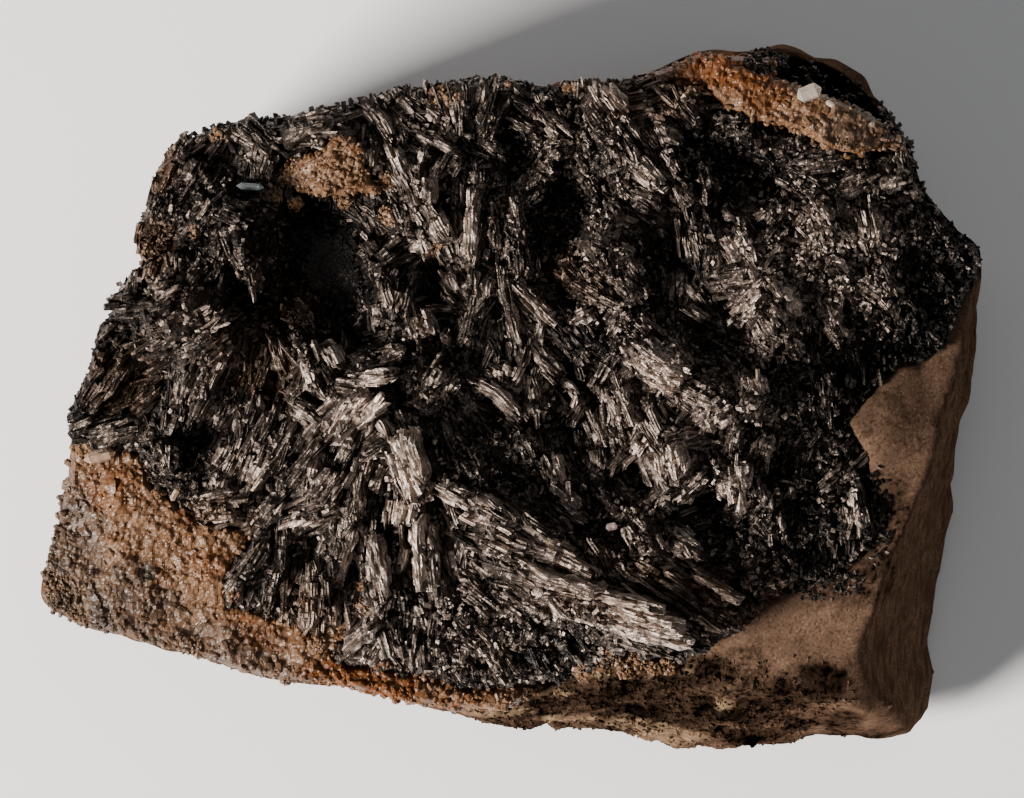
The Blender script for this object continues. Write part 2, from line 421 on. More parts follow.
@dataclass
class TopMap:
    """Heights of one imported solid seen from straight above, on an even grid of cells."""

    node: str
    cell: float = 0.4
    half_x: float = 50.0
    half_y: float = 39.0
    heights: np.ndarray = field(init=False)

    def __post_init__(self) -> None:
        """Reads the heights."""
        tree = tree_of(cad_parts[self.node].data)
        columns = round(2 * self.half_x / self.cell)
        rows = round(2 * self.half_y / self.cell)
        self.heights = np.full((columns, rows), np.nan)
        down = Vector((0, 0, -1))
        for i in range(columns):
            x = (-self.half_x + (i + 0.5) * self.cell) * MM
            for j in range(rows):
                y = (-self.half_y + (j + 0.5) * self.cell) * MM
                hit = tree.ray_cast(Vector((x, y, 0.2)), down)[0]
                if hit is not None:
                    self.heights[i, j] = hit.z / MM

    def centres(self) -> tuple[np.ndarray, np.ndarray]:
        """The middles of the cells, as two arrays shaped like the heights."""
        xs = -self.half_x + (np.arange(self.heights.shape[0]) + 0.5) * self.cell
        ys = -self.half_y + (np.arange(self.heights.shape[1]) + 0.5) * self.cell
        return np.meshgrid(xs, ys, indexing="ij")

    def at(self, heights: np.ndarray, x: np.ndarray, y: np.ndarray) -> np.ndarray:
        """Heights at any places.

        Args:
            heights: a map on this grid.
            x: places along the slab.
            y: places across the slab.

        Returns:
            the height of the cell that each place is in, nan off the piece.
        """
        i = np.clip(((np.asarray(x) + self.half_x) / self.cell).astype(int), 0, heights.shape[0] - 1)
        j = np.clip(((np.asarray(y) + self.half_y) / self.cell).astype(int), 0, heights.shape[1] - 1)
        return heights[i, j]

    def rim_cells(self) -> np.ndarray:
        """The cells on the piece's outer edge, as pairs of whole numbers."""
        known = np.isfinite(self.heights)
        inner = known.copy()
        for axis in (0, 1):
            inner &= np.roll(known, 1, axis) & np.roll(known, -1, axis)
        return np.argwhere(known & ~inner)

    def near_cell(
        self, i: int, j: int, low: float, high: float, chance: Chance
    ) -> tuple[float, float]:
        """A random place near a cell.

        Args:
            i: the cell's number along the slab.
            j: its number across the slab.
            low: the start of the range, in cells from the cell's corner.
            high: the end of the range.
            chance: the source of the place.

        Returns:
            the place along and across the slab.
        """
        x = -self.half_x + (i + chance.uniform(low, high)) * self.cell
        y = -self.half_y + (j + chance.uniform(low, high)) * self.cell
        return x, y

    def scattered(
        self, count: int, chance: Chance
    ) -> tuple[np.ndarray, np.ndarray, np.ndarray]:
        """Random places all over the piece.

        Args:
            count: how many.
            chance: the source of the places.

        Returns:
            the cells, the places along the slab and the places across it.
        """
        known = np.argwhere(np.isfinite(self.heights))
        picked = known[chance.integers(0, len(known), count)]
        xs = -self.half_x + (picked[:, 0] + chance.uniform(0, 1, count)) * self.cell
        ys = -self.half_y + (picked[:, 1] + chance.uniform(0, 1, count)) * self.cell
        return picked, xs, ys


@dataclass
class MeshPile:
    """Shapes heaped into one mesh, each point with its place on its fibre, a tone and a tint."""

    points: list[np.ndarray] = field(default_factory=list)
    fibres: list[np.ndarray] = field(default_factory=list)
    tones: list[np.ndarray] = field(default_factory=list)
    faces: Faces = field(default_factory=list)
    count: int = 0

    def add(
        self, points: np.ndarray, faces: Faces, fibre: np.ndarray, tone: np.ndarray
    ) -> None:
        """Adds one shape.

        Args:
            points: its points, in millimetres.
            faces: its faces, counting its own points from nought.
            fibre: for each point, its place along and across the fibre and a number of the shape's own.
            tone: for each point, how pale it is.
        """
        base = self.count
        self.points.append(points)
        self.fibres.append(fibre)
        self.tones.append(tone)
        self.faces.extend(tuple(base + corner for corner in face) for face in faces)
        self.count += len(points)

    def make(
        self, name: str, tints: Patches = (), tones: Patches = ()
    ) -> Piece:
        """The pile as an object.

        Args:
            name: the object's name.
            tints: the patches whose strength each point keeps as its tint.
            tones: the patches that make it paler or darker.

        Returns:
            the object, linked to the scene.
        """
        places = np.concatenate(self.points)
        mesh = bpy.data.meshes.new(name)
        mesh.from_pydata((places * MM).tolist(), [], self.faces)
        mesh.update()
        tint = strongest(tints, places)
        tint = np.clip(tint + 0.35 * np.sign(tint) * roughness(places, 1.7, 3, 91), 0.0, 1.0)
        self.paint(mesh, "tint", tint)
        tone = np.concatenate(self.tones)
        for patch in tones:
            tone = tone + patch.share(places[:, 0], places[:, 1])
        self.paint(mesh, "tone", tone)
        layer = mesh.attributes.new("fibre", "FLOAT_VECTOR", "POINT")
        layer.data.foreach_set("vector", np.concatenate(self.fibres).astype(np.float32).ravel())
        made = bpy.data.objects.new(name, mesh)
        bpy.context.scene.collection.objects.link(made)
        return made

    @staticmethod
    def paint(mesh: bpy.types.Mesh, name: str, values: np.ndarray) -> None:
        """Stores one number for each point of a mesh.

        Args:
            mesh: the mesh.
            name: what the numbers are called.
            values: one number for each point.
        """
        layer = mesh.attributes.new(name, "FLOAT", "POINT")
        layer.data.foreach_set("value", values.astype(np.float32))


@dataclass
class Shader:
    """A Principled material being put together."""

    name: str
    material: Material = field(init=False)

    def __post_init__(self) -> None:
        """Makes the material with its Principled shader."""
        self.material = bpy.data.materials.new(self.name)
        self.material.use_nodes = True

    @property
    def principled(self) -> bpy.types.Node:
        """The Principled shader."""
        return self.material.node_tree.nodes["Principled BSDF"]

    def set(self, **numbers: object) -> None:
        """Sets constants on the Principled shader, with an underscore for each space in a socket's name."""
        for name, value in numbers.items():
            self.principled.inputs[name.replace("_", " ")].default_value = value

    def feed(self, socket: str, source: Socket) -> None:
        """Links a result to a socket of the Principled shader."""
        self.material.node_tree.links.new(source, self.principled.inputs[socket])

    def node(self, kind: str, **sources: object) -> bpy.types.Node:
        """Adds a node.

        Args:
            kind: the node's type.
            **sources: for each input, a socket to link or a constant. An input known by its number is
                called in0 or in1.

        Returns:
            the node.
        """
        tree = self.material.node_tree
        made = tree.nodes.new(kind)
        for name, source in sources.items():
            key = int(name[2:]) if name[:2] == "in" and name[2:].isdigit() else name.replace("_", " ")
            if isinstance(source, Socket):
                tree.links.new(source, made.inputs[key])
            else:
                made.inputs[key].default_value = source
        return made

    def stored(self, name: str, output: str = "Fac") -> Socket:
        """A value kept on the mesh's points."""
        made = self.node("ShaderNodeAttribute")
        made.attribute_name = name
        return made.outputs[output]

    def place(self) -> Socket:
        """The place on the object, in millimetres."""
        local = self.node("ShaderNodeTexCoord").outputs["Object"]
        return self.scaled(local, (1 / MM, 1 / MM, 1 / MM))

    def scaled(self, vector: Socket, by: Triple) -> Socket:
        """A vector multiplied by three numbers."""
        made = self.node("ShaderNodeVectorMath", in0=vector, in1=by)
        made.operation = "MULTIPLY"
        return made.outputs[0]

    def noise(self, vector: Socket, scale: float, detail: float = 3.0) -> Socket:
        """Cloudy noise from 0 to 1."""
        made = self.node("ShaderNodeTexNoise", Vector=vector, Scale=scale, Detail=detail, Roughness=0.6)
        return made.outputs["Fac"]

    def cells(
        self, vector: Socket, scale: float, output: str = "Color"
    ) -> Socket:
        """Voronoi cells, as a random colour or as the distance to the nearest cell's middle."""
        return self.node("ShaderNodeTexVoronoi", Vector=vector, Scale=scale).outputs[output]

    def math(self, operation: str, *terms: object) -> Socket:
        """An arithmetic step on sockets or constants."""
        made = self.node("ShaderNodeMath", **{f"in{i}": term for i, term in enumerate(terms)})
        made.operation = operation
        return made.outputs[0]

    def spread(
        self, value: object, low: float, high: float, to_low: float, to_high: float
    ) -> Socket:
        """Maps a value's range to another range, clamped."""
        made = self.node("ShaderNodeMapRange", in0=value, in1=low, in2=high, in3=to_low, in4=to_high)
        return made.outputs[0]

    def mixed(self, share: object, first: object, second: object) -> Socket:
        """Mixes two colours, each a socket or red, green and blue."""
        made = self.material.node_tree.nodes.new("ShaderNodeMix")
        made.data_type = "RGBA"
        links = self.material.node_tree.links
        for key, source in (("Factor_Float", share), ("A_Color", first), ("B_Color", second)):
            socket = next(entry for entry in made.inputs if entry.identifier == key)
            if isinstance(source, Socket):
                links.new(source, socket)
            elif isinstance(source, tuple):
                socket.default_value = (*source, 1.0)
            else:
                socket.default_value = source
        return next(entry for entry in made.outputs if entry.identifier == "Result_Color")

    def bump(
        self, height: object, strength: float, depth_mm: float, under: object = None
    ) -> Socket:
        """A bumped normal, over another one if given."""
        made = self.node("ShaderNodeBump", Height=height, Strength=strength, Distance=depth_mm * MM)
        if under is not None:
            self.material.node_tree.links.new(under, made.inputs["Normal"])
        return made.outputs[0]


@dataclass(frozen=True)
class CrystalFinish:
    """Striated, dull metallic crystals, near black with warm grey faces and some rust."""

    name: str = "betekhtinite_striated"
    black: Triple = (0.0115, 0.0095, 0.0082)
    brown: Triple = (0.086, 0.065, 0.052)
    grey: Triple = (0.54, 0.43, 0.36)
    rust: Triple = (0.095, 0.049, 0.024)
    metallic: float = 0.75

    def make(self) -> Material:
        """The finish as a material."""
        made = Shader(self.name)
        fibre = made.stored("fibre", "Vector")
        place = made.place()
        streaks = made.noise(made.scaled(fibre, (0.35, 5.5, 3.1)), 1.0, 3.0)
        hairs = made.noise(made.scaled(fibre, (0.9, 17.0, 5.3)), 1.0, 2.0)
        crumbs = made.noise(place, 3.2, 3.0)
        clouds = made.noise(place, 0.28, 2.0)
        shade = made.math("ADD", made.spread(streaks, 0.25, 0.75, -0.1, 0.42), made.stored("tone"))
        shade = made.math("ADD", shade, made.spread(crumbs, 0.3, 0.7, -0.14, 0.16))
        shade = made.math("ADD", shade, made.spread(clouds, 0.32, 0.68, -0.2, 0.2))
        lumps = made.cells(place, 3.4, "Distance")
        creases = made.math("MULTIPLY", made.spread(lumps, 0.22, 0.52, 0.12, -0.16), made.stored("crumbly"))
        shade = made.math("ADD", shade, creases)
        colour = made.mixed(made.spread(shade, 0.06, 0.52, 0.0, 1.0), self.black, self.brown)
        colour = made.mixed(made.spread(shade, 0.45, 1.15, 0.0, 1.0), colour, self.grey)
        rust = made.math("MULTIPLY", made.stored("tint"), made.spread(crumbs, 0.35, 0.65, 0.2, 1.0))
        colour = made.mixed(rust, colour, self.rust)
        made.feed("Base Color", colour)
        dull = made.spread(clouds, 0.3, 0.7, 0.0, 0.14)
        made.feed("Roughness", made.math("ADD", made.spread(streaks, 0.3, 0.7, 0.3, 0.46), dull))
        grit = made.noise(place, 7.5, 2.0)
        rounded = made.math("MULTIPLY", lumps, made.spread(made.stored("crumbly"), 0.0, 1.0, -0.35, -1.0))
        normal = made.bump(hairs, 0.5, 0.05)
        normal = made.bump(streaks, 0.65, 0.09, normal)
        normal = made.bump(rounded, 0.6, 0.13, normal)
        normal = made.bump(crumbs, 0.75, 0.13, normal)
        made.feed("Normal", made.bump(grit, 0.6, 0.05, normal))
        made.set(Metallic=self.metallic)
        return made.material


@dataclass(frozen=True)
class QuartzFinish:
    """Sugary quartz: milky and honey grains, with iron stain and a grey dirty rim."""

    name: str = "quartz_sugary"
    milky: Triple = (0.208, 0.124, 0.073)
    honey: Triple = (0.1, 0.047, 0.02)
    stain: Triple = (0.115, 0.033, 0.004)
    dirt: Triple = (0.05, 0.036, 0.027)

    def make(self) -> Material:
        """The finish as a material."""
        made = Shader(self.name)
        place = made.place()
        clouds = made.noise(place, 0.45, 4.0)
        fine = made.noise(place, 4.2, 3.0)
        grains = made.cells(place, 2.5, "Distance")
        tone = made.math("ADD", made.stored("tone"), made.spread(fine, 0.3, 0.7, -0.16, 0.16))
        tone = made.math("ADD", tone, made.spread(clouds, 0.35, 0.65, -0.3, 0.2))
        tone = made.math("ADD", tone, made.spread(grains, 0.25, 0.6, 0.1, -0.4))
        colour = made.mixed(made.spread(tone, 0.0, 1.0, 0.0, 1.0), self.honey, self.milky)
        grime = made.math("MULTIPLY", made.stored("dirt"), made.spread(clouds, 0.3, 0.62, 0.35, 1.0))
        colour = made.mixed(grime, colour, self.dirt)
        stain = made.math("MULTIPLY", made.stored("tint"), made.spread(fine, 0.25, 0.7, 0.55, 1.0))
        made.feed("Base Color", made.mixed(stain, colour, self.stain))
        made.feed("Roughness", made.spread(fine, 0.3, 0.7, 0.24, 0.55))
        normal = made.bump(made.math("MULTIPLY", grains, -1.0), 0.55, 0.16)
        made.feed("Normal", made.bump(fine, 0.35, 0.05, normal))
        made.set(Subsurface_Weight=0.3, Subsurface_Scale=0.0007, Subsurface_Radius=(1.0, 0.62, 0.35))
        made.set(Specular_IOR_Level=0.28)
        return made.material


@dataclass(frozen=True)
class ClearQuartzFinish:
    """A clear quartz crystal that light passes through."""

    name: str
    colour: Triple
    clearness: float = 0.6
    veil: Triple = (0.7, 0.62, 0.53)

    def make(self) -> Material:
        """The finish as a material."""
        made = Shader(self.name)
        place = made.place()
        veils = made.noise(place, 1.6, 4.0)
        milky = made.spread(veils, 0.4, 0.7, 0.0, 0.35)
        made.feed("Base Color", made.mixed(milky, self.colour, self.veil))
        made.feed("Roughness", made.spread(veils, 0.35, 0.7, 0.1, 0.3))
        steps = made.noise(made.scaled(place, (1.0, 4.0, 1.0)), 1.6, 3.0)
        made.feed("Normal", made.bump(steps, 0.6, 0.2))
        made.set(Transmission_Weight=self.clearness, IOR=1.544)
        return made.material


@dataclass(frozen=True)
class SandstoneFinish:
    """Fine-grained sandstone: warm grey brown, sandy and mottled, with dark streaks on the right face."""

    name: str = "sandstone_grained"
    pale: Triple = (0.132, 0.079, 0.052)
    brown: Triple = (0.068, 0.041, 0.026)
    dark: Triple = (0.0012, 0.0009, 0.0007)
    umber: Triple = (0.042, 0.0242, 0.0152)
    rust: Triple = (0.14, 0.05, 0.012)
    cream: Triple = (0.27, 0.18, 0.108)

    def make(self) -> Material:
        """The finish as a material."""
        made = Shader(self.name)
        place = made.place()
        clouds = made.noise(place, 0.16, 5.0)
        mottle = made.noise(place, 1.1, 4.0)
        grains = made.noise(place, 4.2, 2.0)
        dots = made.cells(place, 5.0)
        fine = made.noise(place, 9.0, 2.0)
        lines = made.noise(made.scaled(place, (2.4, 0.3, 0.7)), 1.0, 4.0)
        broad = made.spread(clouds, 0.3, 0.7, 0.05, 0.5)
        shade = made.math("ADD", broad, made.spread(mottle, 0.3, 0.7, -0.1, 0.4))
        shade = made.math("ADD", shade, made.spread(grains, 0.3, 0.7, -0.35, 0.35))
        colour = made.mixed(made.spread(shade, 0.0, 1.0, 0.0, 1.0), self.brown, self.pale)
        colour = made.mixed(made.spread(dots, 0.78, 0.96, 0.0, 0.35), colour, self.cream)
        colour = made.mixed(made.spread(dots, 0.36, 0.15, 0.0, 0.75), colour, self.umber)
        lines = made.math("MULTIPLY", made.spread(lines, 0.46, 0.6, 0.0, 0.8), made.stored("streaky"))
        colour = made.mixed(lines, colour, self.umber)
        colour = made.mixed(made.stored("tint"), colour, self.rust)
        dirt = made.stored("dirt")
        mild = made.spread(dirt, 0.95, 1.5, 1.0, 0.0)
        patches = made.math("MULTIPLY", made.spread(mottle, 0.38, 0.56, 0.0, 0.9), mild)
        dirt = made.math("ADD", dirt, made.spread(made.noise(place, 2.3, 3.0), 0.3, 0.7, -0.3, 0.3))
        dirt = made.spread(dirt, 0.15, 0.85, 0.0, 1.0)
        colour = made.mixed(dirt, colour, made.mixed(patches, self.dark, self.umber))
        colour = made.mixed(made.stored("cream"), colour, self.cream)
        made.feed("Base Color", colour)
        made.feed("Roughness", made.spread(fine, 0.3, 0.7, 0.85, 1.0))
        normal = made.bump(mottle, 0.35, 0.12)
        normal = made.bump(grains, 0.45, 0.08, normal)
        made.feed("Normal", made.bump(fine, 0.4, 0.04, normal))
        made.set(Specular_IOR_Level=0.0)
        return made.material


@dataclass
class Relief:
    """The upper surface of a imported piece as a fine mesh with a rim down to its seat."""

    top: TopMap
    smoothing: int
    lowered: float
    rim_drop: float
    floor: float = SEAT

    def grid(self) -> tuple[np.ndarray, list[tuple[int, int, int, int]], list[int]]:
        """The surface's points and faces.

        Returns:
            the points, the four-sided faces, and the numbers of the points on the rim.
        """
        heights = self.top.heights
        known = np.isfinite(heights)
        smooth = blurred(heights, self.smoothing)
        cover = blurred(np.where(known, 1.0, 0.0), 2)
        number = -np.ones((heights.shape[0] + 1, heights.shape[1] + 1), int)
        points: list[Triple] = []
        faces = []
        for i, j in zip(*np.nonzero(known)):
            corners = []
            for di, dj in ((0, 0), (1, 0), (1, 1), (0, 1)):
                if number[i + di, j + dj] < 0:
                    number[i + di, j + dj] = len(points)
                    near = smooth[i + di - 1 : i + di + 1, j + dj - 1 : j + dj + 1]
                    rim = cover[i + di - 1 : i + di + 1, j + dj - 1 : j + dj + 1].mean()
                    z = np.nanmean(near) - self.lowered - self.rim_drop * max(0.0, 1 - rim) * 2
                    x = -self.top.half_x + (i + di) * self.top.cell
                    y = -self.top.half_y + (j + dj) * self.top.cell
                    points.append((x, y, z))
                corners.append(int(number[i + di, j + dj]))
            faces.append(tuple(corners))
        return np.array(points), faces, self.rim(faces, len(points))

    @staticmethod
    def rim(faces: list[tuple[int, int, int, int]], count: int) -> list[int]:
        """The numbers of the points on the rim, where an edge belongs to one face only."""
        seen: dict[tuple[int, int], int] = {}
        for face in faces:
            for a, b in zip(face, face[1:] + face[:1]):
                key = (min(a, b), max(a, b))
                seen[key] = seen.get(key, 0) + 1
        edge_points = np.zeros(count, bool)
        for (a, b), times in seen.items():
            if times == 1:
                edge_points[a] = edge_points[b] = True
        return np.nonzero(edge_points)[0].tolist()

    def close(self, made: Piece) -> None:
        """Evens the rim, draws it down to the seat and closes the underside.

        Args:
            made: the object whose mesh is the open surface.
        """
        work = bmesh.new()
        work.from_mesh(made.data)
        for _ in range(4):
            moved = {}
            for edge in work.edges:
                if edge.is_boundary:
                    for vert, other in (edge.verts, reversed(edge.verts)):
                        moved.setdefault(vert, []).append(other.co.xy.copy())
            for vert, others in moved.items():
                middle = (others[0] + others[-1]) / 2 if len(others) == 2 else vert.co.xy
                vert.co.xy = vert.co.xy * 0.4 + middle * 0.6
        border = [edge for edge in work.edges if edge.is_boundary]
        for left in range(WALL_ROWS, 0, -1):
            below = bmesh.ops.extrude_edge_only(work, edges=border)["geom"]
            verts = [part for part in below if isinstance(part, bmesh.types.BMVert)]
            places = np.array([vert.co for vert in verts]) / MM
            shifts = WALL_ROUGHNESS * roughness(places + 3.1 * left, 1.1, 2, 97) - WALL_RECESS
            for vert, shift in zip(verts, shifts):
                vert.co.z += (self.floor * MM - vert.co.z) / left
                vert.co.xy += vert.co.xy.normalized() * float(shift) * MM
            border = [part for part in below if isinstance(part, bmesh.types.BMEdge) and part.is_boundary]
        bmesh.ops.triangle_fill(work, edges=border, use_beauty=False)
        bmesh.ops.recalc_face_normals(work, faces=work.faces)
        work.to_mesh(made.data)
        work.free()


def axes_of(heading: float, pitch: float, roll: float) -> tuple[np.ndarray, np.ndarray, np.ndarray]:
    """The directions of a lath.

    Args:
        heading: its direction seen from above, in radians.
        pitch: how far its end rises, in radians.
        roll: how far it is turned about its own length, in radians.

    Returns:
        unit vectors along the lath, across it and out of its top.
    """
    level_share = math.cos(pitch)
    along = np.array([math.cos(heading) * level_share, math.sin(heading) * level_share, math.sin(pitch)])
    level = np.array([-math.sin(heading), math.cos(heading), 0.0])
    above = np.cross(along, level)
    across = level * math.cos(roll) + above * math.sin(roll)
    return along, across, np.cross(along, across)


def tube_faces(rings: int, around: int) -> Faces:
    """The faces of a closed tube.

    Args:
        rings: how many bands of faces it has along its length.
        around: how many points go round it.

    Returns:
        the bands' four-sided faces and the two ends.
    """
    faces: Faces = []
    for low in range(0, rings * around, around):
        for i in range(around):
            k = (i + 1) % around
            faces.append((low + i, low + around + i, low + around + k, low + k))
    faces.append(tuple(range(around)))
    faces.append(tuple(range(rings * around + around - 1, rings * around - 1, -1)))
    return faces


@dataclass
class Crystal:
    """Where one crystal lies, how it is turned, its size and how pale it is."""

    centre: np.ndarray
    heading: float
    pitch: float
    roll: float
    length: float
    width: float
    depth: float
    tone: float

    def laid(self, run: np.ndarray, cross: np.ndarray, up: np.ndarray) -> np.ndarray:
        """Puts points where the crystal lies.

        Args:
            run: how far each is along the crystal from its middle.
            cross: how far across.
            up: how far out of its top.

        Returns:
            their places on the specimen.
        """
        along, across, above = axes_of(self.heading, self.pitch, self.roll)
        places = self.centre + run[..., None] * along + cross[..., None] * across + up[..., None] * above
        return places.reshape(-1, 3)


@dataclass
class Lath(Crystal):
    """One striated crystal: a flat bar with grooved faces and splintered ends."""

    groove_pitch: float = 0.16
    groove_depth: float = 0.05

    def pile(self, heap: MeshPile, chance: Chance) -> None:
        """Adds the lath to a heap.

        Args:
            heap: what it is added to.
            chance: the source of its small differences.
        """
        grooves = int(min(11, max(3, round(self.width / self.groove_pitch))))
        rings = int(min(8, max(2, round(self.length / 0.6))))
        side = np.linspace(-0.5, 0.5, grooves + 1)
        side[1:-1] += chance.uniform(-0.22, 0.22, grooves - 1) / grooves
        crown = -0.3 * self.width * side**2
        ups_and_downs = 1 - 2 * (np.arange(grooves + 1) % 2)
        groove = self.groove_depth * chance.uniform(0.4, 1.5, grooves + 1) * ups_and_downs
        steps = np.cumsum(chance.normal(0, 0.35, grooves + 1)) * self.groove_depth
        share = np.linspace(-0.5, 0.5, rings + 1)
        share[1:-1] += chance.uniform(-0.25, 0.25, rings - 1) / rings
        run = np.repeat(share[:, None] * self.length, grooves + 1, axis=1)
        ragged = min(0.45 * self.length, 0.5 * self.width + 0.25)
        run[0] += chance.uniform(0.0, ragged, grooves + 1)
        run[-1] -= chance.uniform(0.0, ragged, grooves + 1)
        top = (crown + groove + steps)[None, :] + chance.normal(0, 0.04, (rings + 1, grooves + 1))
        top += np.cumsum(chance.normal(0, 0.03, rings + 1))[:, None]
        top[0] -= chance.uniform(0.0, 0.25 * self.width, grooves + 1)
        top[-1] -= chance.uniform(0.0, 0.25 * self.width, grooves + 1)
        wide = self.width * (1 + chance.uniform(-0.08, 0.08, rings + 1))
        across_place = side[None, :] * wide[:, None]
        foot_run = np.stack([run[:, -1], run[:, 0]], axis=1)
        foot_side = np.stack([0.46 * wide, -0.46 * wide], axis=1)
        foot_top = np.full((rings + 1, 2), -self.depth)
        run = np.concatenate([run, foot_run], axis=1)
        cross = np.concatenate([across_place, foot_side], axis=1)
        up = np.concatenate([top, foot_top], axis=1)
        own = chance.uniform(0, 60)
        down_side = np.where(up < -0.4 * self.depth, up, 0.0)
        fibre = np.stack([run + own, cross + down_side, np.full_like(run, own)], -1)
        tone = np.full(run.size, self.tone + chance.normal(0, 0.07))
        heap.add(self.laid(run, cross, up), tube_faces(rings, grooves + 3), fibre.reshape(-1, 3), tone)


@dataclass
class Sheaf(Crystal):
    """Laths fused side by side: a long block whose top and sides are grooved and broken off in steps."""

    spacing: float = 0.15
    ring_spacing: float = 0.4
    strand: float = 0.35
    break_length: float = 1.3
    break_depth: float = 0.2
    groove_depth: float = 0.06
    lumpiness: float = 0.14

    def section(self) -> tuple[np.ndarray, np.ndarray, np.ndarray]:
        """The block's outline from one foot over the top to the other foot.

        Returns:
            the places across and up, and the outward directions in the same two axes.
        """
        tops = max(4, round(self.width / self.spacing))
        walls = max(2, round(0.75 * self.depth / (2 * self.spacing)))
        top = np.linspace(-0.5, 0.5, tops + 1)
        fall = np.linspace(0.75, 0.75 / walls, walls) * self.depth
        side = np.concatenate([[-0.36], np.full(walls, -0.5), top, np.full(walls, 0.5), [0.36]]) * self.width
        crown = -0.22 * self.width * (2 * top) ** 4
        up = np.concatenate([[-self.depth], -fall, crown, -fall[::-1], [-self.depth]])
        out_side = np.concatenate([[0.0], np.full(walls, -1.0), 1.6 * top**3, np.full(walls, 1.0), [0.0]])
        out_up = np.concatenate([[0.0], np.zeros(walls), np.ones(tops + 1), np.zeros(walls), [0.0]])
        return side, up, np.stack([out_side, out_up])

    def pile(self, heap: MeshPile, chance: Chance) -> None:
        """Adds the sheaf to a heap.

        Args:
            heap: what it is added to.
            chance: the source of its small differences.
        """
        side, up, out = self.section()
        around = len(side)
        rings = max(3, round(self.length / self.ring_spacing))
        own = float(chance.uniform(0, 900))
        seed = int(own * 7)
        arc = np.concatenate([[0.0], np.cumsum(np.hypot(np.diff(side), np.diff(up)))])
        share = np.linspace(-0.5, 0.5, rings + 1)
        share[1:-1] += chance.uniform(-0.3, 0.3, rings - 1) / rings
        run = share[:, None] * self.length + np.zeros(around)
        wander = 0.35 * np.sin(run * chance.uniform(0.3, 0.9) + own)
        number = np.floor(arc[None, :] / self.strand + wander).astype(np.int64)
        start = hashed(number, number * 0, number * 0, seed)
        broken = np.floor(run / self.break_length + 3.0 * start).astype(np.int64)
        push = self.break_depth * hashed(number, broken, number * 0, seed + 1)
        grooves = self.groove_depth * (1 - 2 * (np.arange(around) % 2)) * chance.uniform(0.3, 1.5, around)
        round_arc = np.tile(arc, rings + 1)
        flat = np.stack([run.ravel() * 0.8 + own, round_arc * 2.4, np.full(run.size, own)], axis=1)
        push = push + grooves[None, :] + 0.12 * roughness(flat, 1.0, 3, 17).reshape(run.shape)
        even = np.stack([run.ravel(), round_arc, np.full(run.size, own)], axis=1)
        push = push + self.lumpiness * roughness(even, 0.8, 2, 19).reshape(run.shape)
        push -= 0.3 * (hashed(number, broken, number * 0, seed + 2) > 0.86)
        trim = min(0.34 * self.length, 1.5)
        first = -self.length / 2 + trim * (0.5 + 0.5 * hashed(number, number * 0 + 3, number * 0, seed))
        last = self.length / 2 - trim * (0.5 + 0.5 * hashed(number, number * 0 + 4, number * 0, seed))
        run = np.minimum(np.maximum(run, first), last)
        taper = min(1.4, 0.3 * self.length)
        near_end = np.clip((np.abs(share[:, None]) * self.length - self.length / 2 + taper) / taper, 0, 1)
        swell = 1 + 0.14 * np.cumsum(chance.normal(0, 0.45, rings + 1))[:, None] / math.sqrt(rings)
        thin = np.clip(swell - chance.uniform(0.1, 0.45) * near_end**2, 0.4, 1.3)
        bend = chance.normal(0, 0.035) * self.length * (4 * share[:, None] ** 2 - 0.33)
        knots = np.cumsum(chance.normal(0, 0.07, rings + 1))[:, None]
        cross = side[None, :] * thin + push * out[0] + bend
        rise = up[None, :] + push * out[1] - near_end**2 * 0.45 * self.depth * out[1] + knots - knots.mean()
        fibre = np.stack([run + own, arc[None, :] + np.zeros_like(run), np.full_like(run, own % 60)], axis=-1)
        tone = self.tone + 0.13 * start + 0.08 * hashed(number, broken, number * 0, seed + 5)
        tone = tone + np.clip(push, -0.4, 0.1) * 0.9
        faces = tube_faces(rings, around)
        heap.add(self.laid(run, cross, rise), faces, fibre.reshape(-1, 3), tone.ravel())


